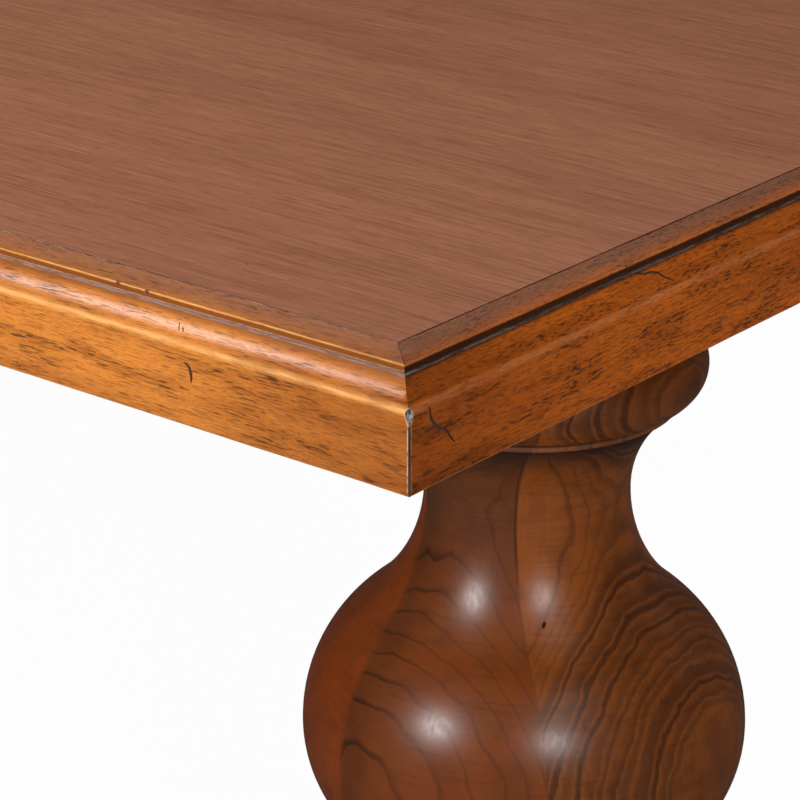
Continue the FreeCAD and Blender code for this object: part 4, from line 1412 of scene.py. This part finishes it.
        # Painted shade in the hollow, full at the quirk and on its step.
        quirk_shade = fade(quirk, quirk_shade_reach, edge_marks.quirk_shade_near) if hollow else 0.0
        strip = edge_marks.lip_strip_share if across < inset + edge_marks.lip_width else 1.0
        nose = math.hypot(across - edge_marks.nose_place, up - self.arris)
        lip = math.hypot(across - inset - edge_marks.lip_place, up + edge_marks.lip_place)
        foot = math.hypot(across - edge_marks.foot_place, up + self.moulding_depth - edge_marks.foot_place)
        floor = self.hollow_radius + edge_marks.scratch_depth_share * self.gash_depth
        cut = math.hypot(across - centre.x, up - centre.y) > floor
        within = edge_marks.scratch_span[0] < across < inset - edge_marks.scratch_span[1]
        high = self.arris + edge_marks.scratch_margin < up < -self.step_drop - edge_marks.scratch_margin
        return {
            "glaze": 1.0 if joint else 0.0,
            "quirk": fade(quirk, *edge_marks.quirk_fade),
            "quirk_shade": 1.0 if step else quirk_shade,
            # Rubbed arrises with their painted highlight, at the nose and at the lip.
            "worn_sheen": max(fade(nose, *edge_marks.nose_fade), edge_marks.lip_worn_sheen_share * fade(lip, *edge_marks.lip_fade)),
            "strip": strip if up > -edge_marks.strip_depth else 0.0,
            "rub": fade(foot, *edge_marks.foot_fade),
            "scratch": 1.0 if cut and within and high else 0.0,
        }

    def stamp_edge_marks(self, piece: bpy.types.Object, spot: Matrix, quirk_shade_reach: float) -> None:
        """Stamp where painted shade lies under the quirk, where glaze gathers, and where the arrises are
        rubbed through and carry a painted highlight.

        Args:
            piece: A moulding in its place.
            spot: The place, which the section's sizes are measured from.
            quirk_shade_reach: How far the painted shade runs into the hollow, in millimetres.
        """
        back = spot.inverted()
        places = [back @ vertex.co / MM for vertex in piece.data.vertices]
        rows = [self.marks_at(place.y, place.z, quirk_shade_reach) for place in places]
        for name in rows[0]:
            Bench.stamp(piece, name, (row[name] for row in rows))

    def make_finishes(self) -> dict[Grain, bpy.types.Material]:
        """Make the finishes of the long mouldings and of those across, whose darker colours are partly
        painted shade.

        Returns:
            The materials, by the way that the grain runs.
        """
        half_length = self.length / 2 * MM
        half_width = self.width / 2 * MM
        shared = {
            "arris": (self.height + self.arris) * MM,
            "foot": (self.height - self.moulding_depth) * MM,
            "chip_place": tuple(Vector(self.chip_place) * MM),
        }
        # The colours for the hollow under the quirk are painted shade, the grey quirk colours painted
        # reflections on its glaze, the pale joint colour painted glints, and the arris colours rubbing with
        # a painted highlight.
        long_finish = MouldingFinish(
            "moulding_long", Grain.LONG, half_length, half_width, **shared,
            pits=[tuple(Vector(pit) * MM) for pit in self.long_pits],
            light=(0.575, 0.194, 0.029), deep=(0.230, 0.058, 0.008), strip=(0.308, 0.124, 0.067),
            quirk_shade=(0.175, 0.050, 0.009), quirk=(0.240, 0.170, 0.150), quirk_deep=(0.125, 0.075, 0.055),
            dash_length=8 * MM, dash_width=0.6 * MM, dash_share=0.42, edge_wear_sheen=0.9, gloss=0.18,
            joint=(0.420, 0.330, 0.290), scratch=(0.480, 0.300, 0.190))
        # Painted shade: the across mouldings take darker colours than the long ones, partly standing in for
        # how light falls on grain that runs across it.
        across_shaded_finish = MouldingFinish(
            "moulding_across_shaded", Grain.ACROSS, half_width, half_length, **shared,
            pits=[tuple(Vector(pit) * MM) for pit in self.across_pits],
            light=(0.480, 0.105, 0.007), deep=(0.165, 0.033, 0.003), strip=(0.162, 0.080, 0.050),
            quirk_shade=(0.016, 0.007, 0.004), quirk=(0.130, 0.105, 0.095), quirk_deep=(0.040, 0.029, 0.025),
            dash_length=5 * MM, dash_width=0.75 * MM, dash_share=0.60, edge_wear_sheen=0.40, gloss=0.10,
            worn_sheen=(0.600, 0.210, 0.070))
        return {finish.grain: finish.build() for finish in (long_finish, across_shaded_finish)}

    def make_cutters(self) -> dict[str, list[bpy.types.Object]]:
        """Make the cutters of the marks of wear.

        Returns:
            The cutters of each side's moulding; the chip at the corner is in both lists.
        """
        chip = Bench.pebble("chip_cutter", self.chip_place, self.chip_reach, self.chip_uneven)
        right_floor = self.length / 2 - self.gash_depth
        crack_trail = self.trail(self.crack_line, self.crack_widths)
        crack_points = [Vector((right_floor, spot.x, spot.y)) for spot in crack_trail]
        crack = self.gash("crack_cutter", crack_points, Vector((1, 0, 0)))
        front_floor = self.gash_depth - self.width / 2
        dent_trail = self.trail(self.dent_line, self.dent_widths)
        dent_points = [Vector((spot.x, front_floor, spot.y)) for spot in dent_trail]
        dent = self.gash("dent_cutter", dent_points, Vector((0, -1, 0)))
        scratch = self.scratch("scratch_cutter", self.scratch_line, self.scratch_widths, Grain.ACROSS)
        cutters = {"front": [chip, dent], "right": [chip, crack, scratch]}
        for number, line in enumerate(self.stroke_lines):
            name = f"stroke_cutter_{number}"
            cutters["front"].append(self.scratch(name, line, self.stroke_widths, Grain.LONG))
        for side, pits in (("front", self.long_pits), ("right", self.across_pits)):
            for number, pit in enumerate(pits):
                name = f"{side}_pit_cutter_{number}"
                cutters[side].append(Bench.pebble(name, pit, self.pit_reach, self.pit_uneven))
        return cutters

    def build(self) -> None:
        """Make the mouldings and the field."""
        finishes = self.make_finishes()
        cutters = self.make_cutters()
        quirk_shade_reaches = {Grain.LONG: self.long_quirk_shade, Grain.ACROSS: self.across_quirk_shade}
        sides = {
            "front": (0.0, -self.width / 2, 0.0, self.length, Grain.LONG),
            "right": (self.length / 2, 0.0, 90.0, self.width, Grain.ACROSS),
            "back": (0.0, self.width / 2, 180.0, self.length, Grain.LONG),
            "left": (-self.length / 2, 0.0, 270.0, self.width, Grain.ACROSS),
        }
        for side, (across, deep, turn, length, grain) in sides.items():
            master = self.moulding(f"{side}_edge_master", length)
            spot = Matrix.Translation(Vector((across, deep, self.height)) * MM)
            spot = spot @ Matrix.Rotation(math.radians(turn), 4, "Z")
            piece = Bench.copy_to(master, f"{side}_edge", spot)
            Bench.drop(master)
            for cutter in cutters.get(side, ()):
                Bench.carve(piece, cutter)
            self.weather(piece, spot, length)
            self.stamp_edge_marks(piece, spot, quirk_shade_reaches[grain])
            Bench.smooth(piece, self.smooth_angle)
            keep(piece, "moulding_wood", finishes[grain], f"{side}_moulding")
        for cutter in dict.fromkeys(cutters["front"] + cutters["right"]):
            Bench.drop(cutter)
        self.lay_field()

    def lay_field(self) -> None:
        """Make the veneered field with an eased edge inside the mouldings."""
        Bench.clear()
        margin = 2 * (self.moulding_width + self.joint_gap)
        size = Vector((self.length - margin, self.width - margin, self.veneer_depth))
        middle = (0, 0, (self.height - self.veneer_depth / 2) * MM)
        bpy.ops.mesh.primitive_cube_add(size=1.0, location=middle)
        piece = bpy.context.object
        piece.name = "veneered_field"
        piece.data.name = piece.name
        piece.scale = size * MM
        bpy.ops.object.transform_apply(location=True, rotation=True, scale=True)
        bpy.ops.object.mode_set(mode="EDIT")
        bpy.ops.mesh.select_all(action="DESELECT")
        bpy.ops.object.mode_set(mode="OBJECT")
        corners = piece.data.vertices
        top = max(corner.co.z for corner in corners)
        for edge in piece.data.edges:
            edge.select = all(abs(corners[end].co.z - top) < TOUCH for end in edge.vertices)
        bpy.ops.object.mode_set(mode="EDIT")
        bpy.ops.mesh.select_mode(type="EDGE")
        bpy.ops.mesh.bevel(offset=self.joint_bevel * MM, segments=self.joint_steps, affect="EDGES")
        bpy.ops.object.mode_set(mode="OBJECT")
        spot = Bench.pebble("spot_cutter", self.spot_place, self.spot_reach, self.spot_uneven)
        Bench.carve(piece, spot)
        Bench.drop(spot)
        glazed = self.joint_bevel * self.joint_glaze_share
        edge_x = size.x / 2 - glazed
        edge_y = size.y / 2 - glazed
        Bench.stamp(piece, "glaze", (
            self.joint_glaze if abs(vertex.co.x) / MM > edge_x or abs(vertex.co.y) / MM > edge_y else 0.0
            for vertex in piece.data.vertices))
        Bench.smooth(piece, self.field_smooth_angle)
        finish = FieldFinish("field_veneer", tuple(Vector(self.spot_place) * MM)).build()
        keep(piece, "field_veneer", finish, "field_veneer")


@dataclass
class Pedestal:
    """Turned column of one pedestal, in millimetres."""

    side: str
    across: float
    turn: float
    foot: float = 172.0
    length: float = 433.0
    crown_radius: float = 92.0
    collar_radius: float = 117.4
    collar_round: float = 23.0
    bead_radius: float = 100.0
    bead_round: float = 2.5
    neck_radius: float = 68.6
    belly_radius: float = 151.0
    belly_round: float = 112.0
    list_radius: float = 104.0
    list_depth: float = 5.0
    list_step: float = 4.0
    list_ease: float = 0.8
    base_round: float = 13.0
    spigot_radius: float = 30.0
    spigot_length: float = 32.0
    crown_spigot: float = 8.0
    rod_hole: float = 6.5
    cornice_share: float = 0.945
    collar_share: float = 0.872
    neck_share: float = 0.667
    belly_share: float = 0.265
    base_steps: int = 10
    seat_steps: int = 22
    belly_steps: int = 20
    neck_steps: int = 16
    cove_steps: int = 18
    bead_steps: int = 5
    collar_steps: int = 14
    shoulder_steps: int = 16
    crown_steps: int = 8
    steps: int = 144
    smooth_angle: float = 32.0
    # Painted shade in the crease over the bead and under it below the collar: places, fades and strengths.
    over_rise: float = 0.8
    over_fade: Point = (2.2, 0.5)
    over_shade: float = 0.9
    under_edge: float = 0.6
    under_fade: Point = (30.0, 1.0)
    under_shade: float = 0.85
    # Fade of the painted highlight on the bead.
    bead_fade: Point = (2.6, 1.6)
    dents: Sequence[Place] = ()
    dent_reach: Place = (1.1, 1.9, 3.0)
    dent_uneven: float = 0.3

    def bead_span(self) -> Point:
        """Place of the bead.

        Returns:
            Heights of its base and top above the column's foot.
        """
        collar_axis = self.collar_radius - self.collar_round
        reach = self.bead_radius - self.bead_round - collar_axis
        top = self.length * self.collar_share - math.sqrt(self.collar_round ** 2 - reach ** 2)
        return top - 2 * self.bead_round, top

    def section(self) -> list[Point]:
        """Outline of the column.

        Returns:
            Radii and heights above its foot, from the bottom up.
        """
        base_top = 2 * self.base_round
        base_side = (self.list_radius + self.base_round, self.base_round)
        list_top = base_top + self.list_depth
        eased = self.list_radius - self.list_ease
        belly = self.length * self.belly_share
        neck = self.length * self.neck_share
        collar = self.length * self.collar_share
        cornice = self.length * self.cornice_share
        belly_axis = self.belly_radius - self.belly_round
        seat = self.list_radius - self.list_step
        seat_step = self.belly_radius - seat
        seat_round = (seat_step ** 2 + (belly - list_top) ** 2) / (2 * seat_step)
        fall = neck - belly
        waist = self.neck_radius - belly_axis
        neck_round = (waist ** 2 + fall ** 2 - self.belly_round ** 2) / (2 * (self.belly_round - waist))
        meet = self.belly_round / (self.belly_round + neck_round)
        joint = (belly_axis + (waist + neck_round) * meet, belly + fall * meet)
        bead_inner = self.bead_radius - self.bead_round
        bead_base, bead_top = self.bead_span()
        bead_side = (self.bead_radius, bead_base + self.bead_round)
        flare = bead_inner - self.neck_radius
        cove_round = (flare ** 2 + (bead_base - neck) ** 2) / (2 * flare)
        shoulder = (self.collar_radius, collar)
        collar_top = collar + self.collar_round
        crown_flare = self.list_radius - self.crown_radius
        crown_top = self.length - self.list_depth
        crown_round = (crown_flare ** 2 + (crown_top - cornice) ** 2) / (2 * crown_flare)
        crown_end = (self.list_radius, crown_top)
        tip = self.length + self.crown_spigot
        return chain(
            [(self.rod_hole, -self.spigot_length), (self.spigot_radius, -self.spigot_length)],
            [(self.spigot_radius, 0.0)],
            arc((self.list_radius, 0.0), base_side, self.base_round, 1, self.base_steps),
            arc(base_side, (self.list_radius, base_top), self.base_round, 1, self.base_steps),
            [(self.list_radius, list_top - self.list_ease), (eased, list_top)],
            arc((seat, list_top), (self.belly_radius, belly), seat_round, 1, self.seat_steps),
            arc((self.belly_radius, belly), joint, self.belly_round, 1, self.belly_steps),
            arc(joint, (self.neck_radius, neck), neck_round, -1, self.neck_steps),
            arc((self.neck_radius, neck), (bead_inner, bead_base), cove_round, -1, self.cove_steps),
            arc((bead_inner, bead_base), bead_side, self.bead_round, 1, self.bead_steps),
            arc(bead_side, (bead_inner, bead_top), self.bead_round, 1, self.bead_steps),
            arc((bead_inner, bead_top), shoulder, self.collar_round, 1, self.collar_steps),
            arc(shoulder, (self.collar_radius - self.collar_round, collar_top), self.collar_round, 1,
                self.shoulder_steps),
            [(self.crown_radius, collar_top), (self.crown_radius, cornice)],
            arc((self.crown_radius, cornice), crown_end, crown_round, -1, self.crown_steps),
            [(self.list_radius, self.length), (self.spigot_radius, self.length)],
            [(self.spigot_radius, tip), (self.rod_hole, tip)],
        )

    def mark_shade_and_sheen(self, piece: bpy.types.Object) -> None:
        """Stamp the bead, painted lighter as a highlight, and the painted shade in the crease over it and
        under it below the collar.

        Args:
            piece: The column in its place.
        """
        base, top = self.bead_span()
        glaze = []
        bead = []
        for vertex in piece.data.vertices:
            up = vertex.co.z / MM - self.foot
            # The glaze mark here is painted shade, over the bead and under it below the collar; the bead
            # mark is its painted highlight.
            over = self.over_shade * fade(abs(up - top - self.over_rise), *self.over_fade)
            below = up <= base + self.under_edge
            under = self.under_shade * fade(base - up, *self.under_fade) if below else 0.0
            glaze.append(max(over, under))
            bead.append(fade(abs(up - base - self.bead_round), *self.bead_fade))
        Bench.stamp(piece, "glaze", glaze)
        Bench.stamp(piece, "bead", bead)

    def build(self) -> None:
        """Draw the half section, close it, spin it round the axis and dress it."""
        axis = Vector((self.across, 0.0, self.foot)) * MM
        points = [axis + Vector((radius, 0.0, up)) * MM for radius, up in self.section()]
        points.append(points[0])
        piece = Bench.draw(f"{self.side}_turned_column", points)
        bpy.ops.mesh.select_all(action="SELECT")
        bpy.ops.mesh.spin(steps=self.steps, angle=2 * math.pi, center=axis, axis=(0, 0, 1))
        Bench.settle()
        for dent in self.dents:
            cutter = Bench.pebble("dent_cutter", dent, self.dent_reach, self.dent_uneven)
            Bench.carve(piece, cutter)
            Bench.drop(cutter)
        Bench.smooth(piece, self.smooth_angle)
        self.mark_shade_and_sheen(piece)
        dents = [tuple(Vector(dent) * MM) for dent in self.dents]
        reach = tuple(Vector(self.dent_reach) * MM)
        axis_place = (self.across * MM, 0.0, 0.0)
        finish = TurnedFinish(f"{self.side}_turned_wood", axis_place, self.turn, dents, reach).build()
        keep(piece, "pedestal_wood", finish, f"{self.side}_column")


@dataclass
class CarriedNodes:
    """Finishes of the CAD nodes that show as they are."""

    rising_legs: tuple[str, ...] = (
        "right_outer_back_leg", "right_inner_front_leg", "left_inner_back_leg", "left_outer_front_leg")
    endings: dict[str, str] = field(default_factory=lambda: {
        "_leg": "leg_falling", "_cap": "block", "_hub": "block", "_bearer": "raw_across", "_glide": "nylon",
        "_spider": "black_steel", "top_core": "board", "_rail": "raw_long", "dowels": "raw_long",
        "tongues": "raw_long", "splines": "raw_long", "backing_veneer": "raw_long"})

    def finish_of(self, node: str) -> str:
        """Pick the finish of a node by its name.

        Args:
            node: Name of the node.

        Returns:
            Name of the finish.
        """
        if node in self.rising_legs:
            return "leg_rising"
        for ending, finish in self.endings.items():
            if node.endswith(ending):
                return finish
        return "zinc"

    def build(self) -> None:
        """Make the finishes and put them on the nodes that still show."""
        finishes = {
            "leg_rising": SawnFinish("leg_wood_rising", Grain.RISING).build(),
            "leg_falling": SawnFinish("leg_wood_falling", Grain.FALLING).build(),
            "block": SawnFinish("block_wood", Grain.ACROSS).build(),
            "raw_long": RawFinish("raw_wood_long", Grain.LONG).build(),
            "raw_across": RawFinish("raw_wood_across", Grain.ACROSS).build(),
            "board": BoardFinish("core_board").build(),
            "black_steel": MetalFinish(
                "black_steel", light=(0.045, 0.045, 0.047), deep=(0.028, 0.028, 0.030),
                metallic=0.0, rough=(0.4, 0.52)).build(),
            "zinc": MetalFinish(
                "zinc_steel", light=(0.62, 0.62, 0.60), deep=(0.48, 0.48, 0.47),
                metallic=1.0, rough=(0.3, 0.42)).build(),
            "nylon": NylonFinish("glide_nylon").build(),
        }
        for name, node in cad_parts.items():
            if node.hide_render:
                continue
            node.data.materials.clear()
            node.data.materials.append(finishes[self.finish_of(name)])
            LOG.info("node %s dressed", name)


@dataclass(frozen=True)
class Lamp:
    """Soft round lamp that looks at the table's corner: its way from there, metres, and watts."""

    name: str
    way: Place
    away: float
    size: float
    power: float
    glint: bool = True


@dataclass
class Studio:
    """Pale floor, soft lamps, white surround and the camera, in metres."""

    focal_pixels: float = 3139.5
    sensor: float = 36.0
    clip: Point = (0.01, 100.0)
    camera_place: Place = (1.8977, -1.5445, 1.2832)
    yaw: float = 38.90
    pitch: float = 21.75
    aim: Place = (0.95, -0.35, 0.66)
    glide_travel: float = 15.0 * MM
    floor_gap: float = 0.5 * MM
    floor_radius: float = 20.0
    floor_sides: int = 96
    floor_colour: Colour = (0.80, 0.80, 0.80)
    floor_rough: float = 0.9
    floor_gloss: float = 0.1
    floor_white: float = 0.97
    reflected: float = 0.04
    surround_light: float = 0.24
    lamps: tuple[Lamp, ...] = (
        Lamp("overhead_left", way=(-0.62, -0.34, 0.70), away=2.6, size=0.75, power=40.0),
        Lamp("front_left", way=(-0.283, -0.887, 0.366), away=2.8, size=0.6, power=51.0),
        Lamp("front_right", way=(0.769, -0.514, 0.38), away=2.8, size=0.5, power=31.0),
        Lamp("overhead_right", way=(0.55, -0.25, 0.80), away=2.6, size=1.4, power=10.0),
        Lamp("back_fill", way=(0.25, 0.95, 0.25), away=3.0, size=1.5, power=20.0, glint=False))

    def camera(self) -> None:
        """Set the camera where the photograph was taken from."""
        data = bpy.data.cameras.new("photo_camera")
        data.sensor_width = self.sensor
        data.lens = self.focal_pixels * self.sensor / IMAGE_PIXELS
        data.clip_start, data.clip_end = self.clip
        camera = bpy.data.objects.new("photo_camera", data)
        bpy.context.collection.objects.link(camera)
        camera.location = self.camera_place
        camera.rotation_euler = (math.radians(90.0 - self.pitch), 0.0, math.radians(self.yaw))
        bpy.context.scene.camera = camera

    def hang(self, lamp: Lamp) -> None:
        """Hang a lamp.

        Args:
            lamp: The lamp.
        """
        data = bpy.data.lights.new(lamp.name, "AREA")
        data.shape = "DISK"
        data.size = lamp.size
        data.energy = lamp.power
        light = bpy.data.objects.new(lamp.name, data)
        bpy.context.collection.objects.link(light)
        direction = Vector(lamp.way).normalized()
        light.location = Vector(self.aim) + direction * lamp.away
        light.rotation_euler = direction.to_track_quat("Z", "Y").to_euler()
        light.visible_glossy = lamp.glint

    def paleness(self, graph: Graph, path: bpy.types.bpy_prop_collection) -> bpy.types.NodeSocket:
        """White to the camera and through glass, a dimmer white in reflections, nought as light.

        Args:
            graph: Graph of the floor or the surround.
            path: Outputs of its light path.

        Returns:
            The paleness.
        """
        mirrored = graph.times(path["Is Glossy Ray"], self.reflected)
        through = graph.sum("MAXIMUM", mirrored, path["Is Transmission Ray"])
        return graph.sum("MAXIMUM", path["Is Camera Ray"], through)

    def surround(self) -> None:
        """White to the camera, dimmer in reflections, softer as light."""
        world = bpy.data.worlds.new("studio_surround")
        bpy.context.scene.world = world
        graph = Graph(world)
        graph.tree.nodes.clear()
        path = graph.add("ShaderNodeLightPath", {}).outputs
        soft = graph.times(path["Is Diffuse Ray"], self.surround_light)
        level = graph.plus(soft, self.paleness(graph, path))
        white = graph.add("ShaderNodeBackground", {"Color": (1, 1, 1, 1), "Strength": level})
        graph.add("ShaderNodeOutputWorld", {"Surface": white.outputs[0]})

    def floor(self) -> None:
        """Lay a wide floor below the glides' reach, white to the camera, that keeps a soft shadow."""
        Bench.clear()
        bpy.ops.mesh.primitive_circle_add(
            vertices=self.floor_sides, radius=self.floor_radius, fill_type="NGON",
            location=(0, 0, -self.glide_travel - self.floor_gap))
        floor = bpy.context.object
        floor.name = "studio_floor"
        graph = Graph(bpy.data.materials.new("studio_floor"))
        shader = graph.shader
        shader.inputs["Base Color"].default_value = (*self.floor_colour, 1)
        shader.inputs["Roughness"].default_value = self.floor_rough
        shader.inputs["Specular IOR Level"].default_value = self.floor_gloss
        path = graph.add("ShaderNodeLightPath", {}).outputs
        glow = graph.add("ShaderNodeEmission", {"Strength": self.paleness(graph, path)})
        share = graph.times(graph.less(1.0, path["Is Diffuse Ray"]), self.floor_white)
        both = graph.add("ShaderNodeMixShader", {0: share, 1: shader.outputs[0], 2: glow.outputs[0]})
        graph.feed(graph.tree.nodes["Material Output"].inputs["Surface"], both.outputs[0])
        floor.data.materials.append(graph.owner)

    def build(self) -> None:
        """Set up the whole studio."""
        bpy.context.scene.view_settings.view_transform = "Standard"
        self.camera()
        self.floor()
        self.surround()
        for lamp in self.lamps:
            self.hang(lamp)


def main() -> None:
    """Build the table's pieces in order, then the studio."""
    logging.basicConfig(level=logging.INFO, format="%(name)s: %(message)s")
    FramedTop().build()
    Pedestal("right", PEDESTAL_ACROSS, turn=0.0, dents=[COLUMN_DENT]).build()
    Pedestal("left", -PEDESTAL_ACROSS, turn=LEFT_COLUMN_TURN).build()
    CarriedNodes().build()
    Studio().build()


if __name__ == "__main__":
    main()
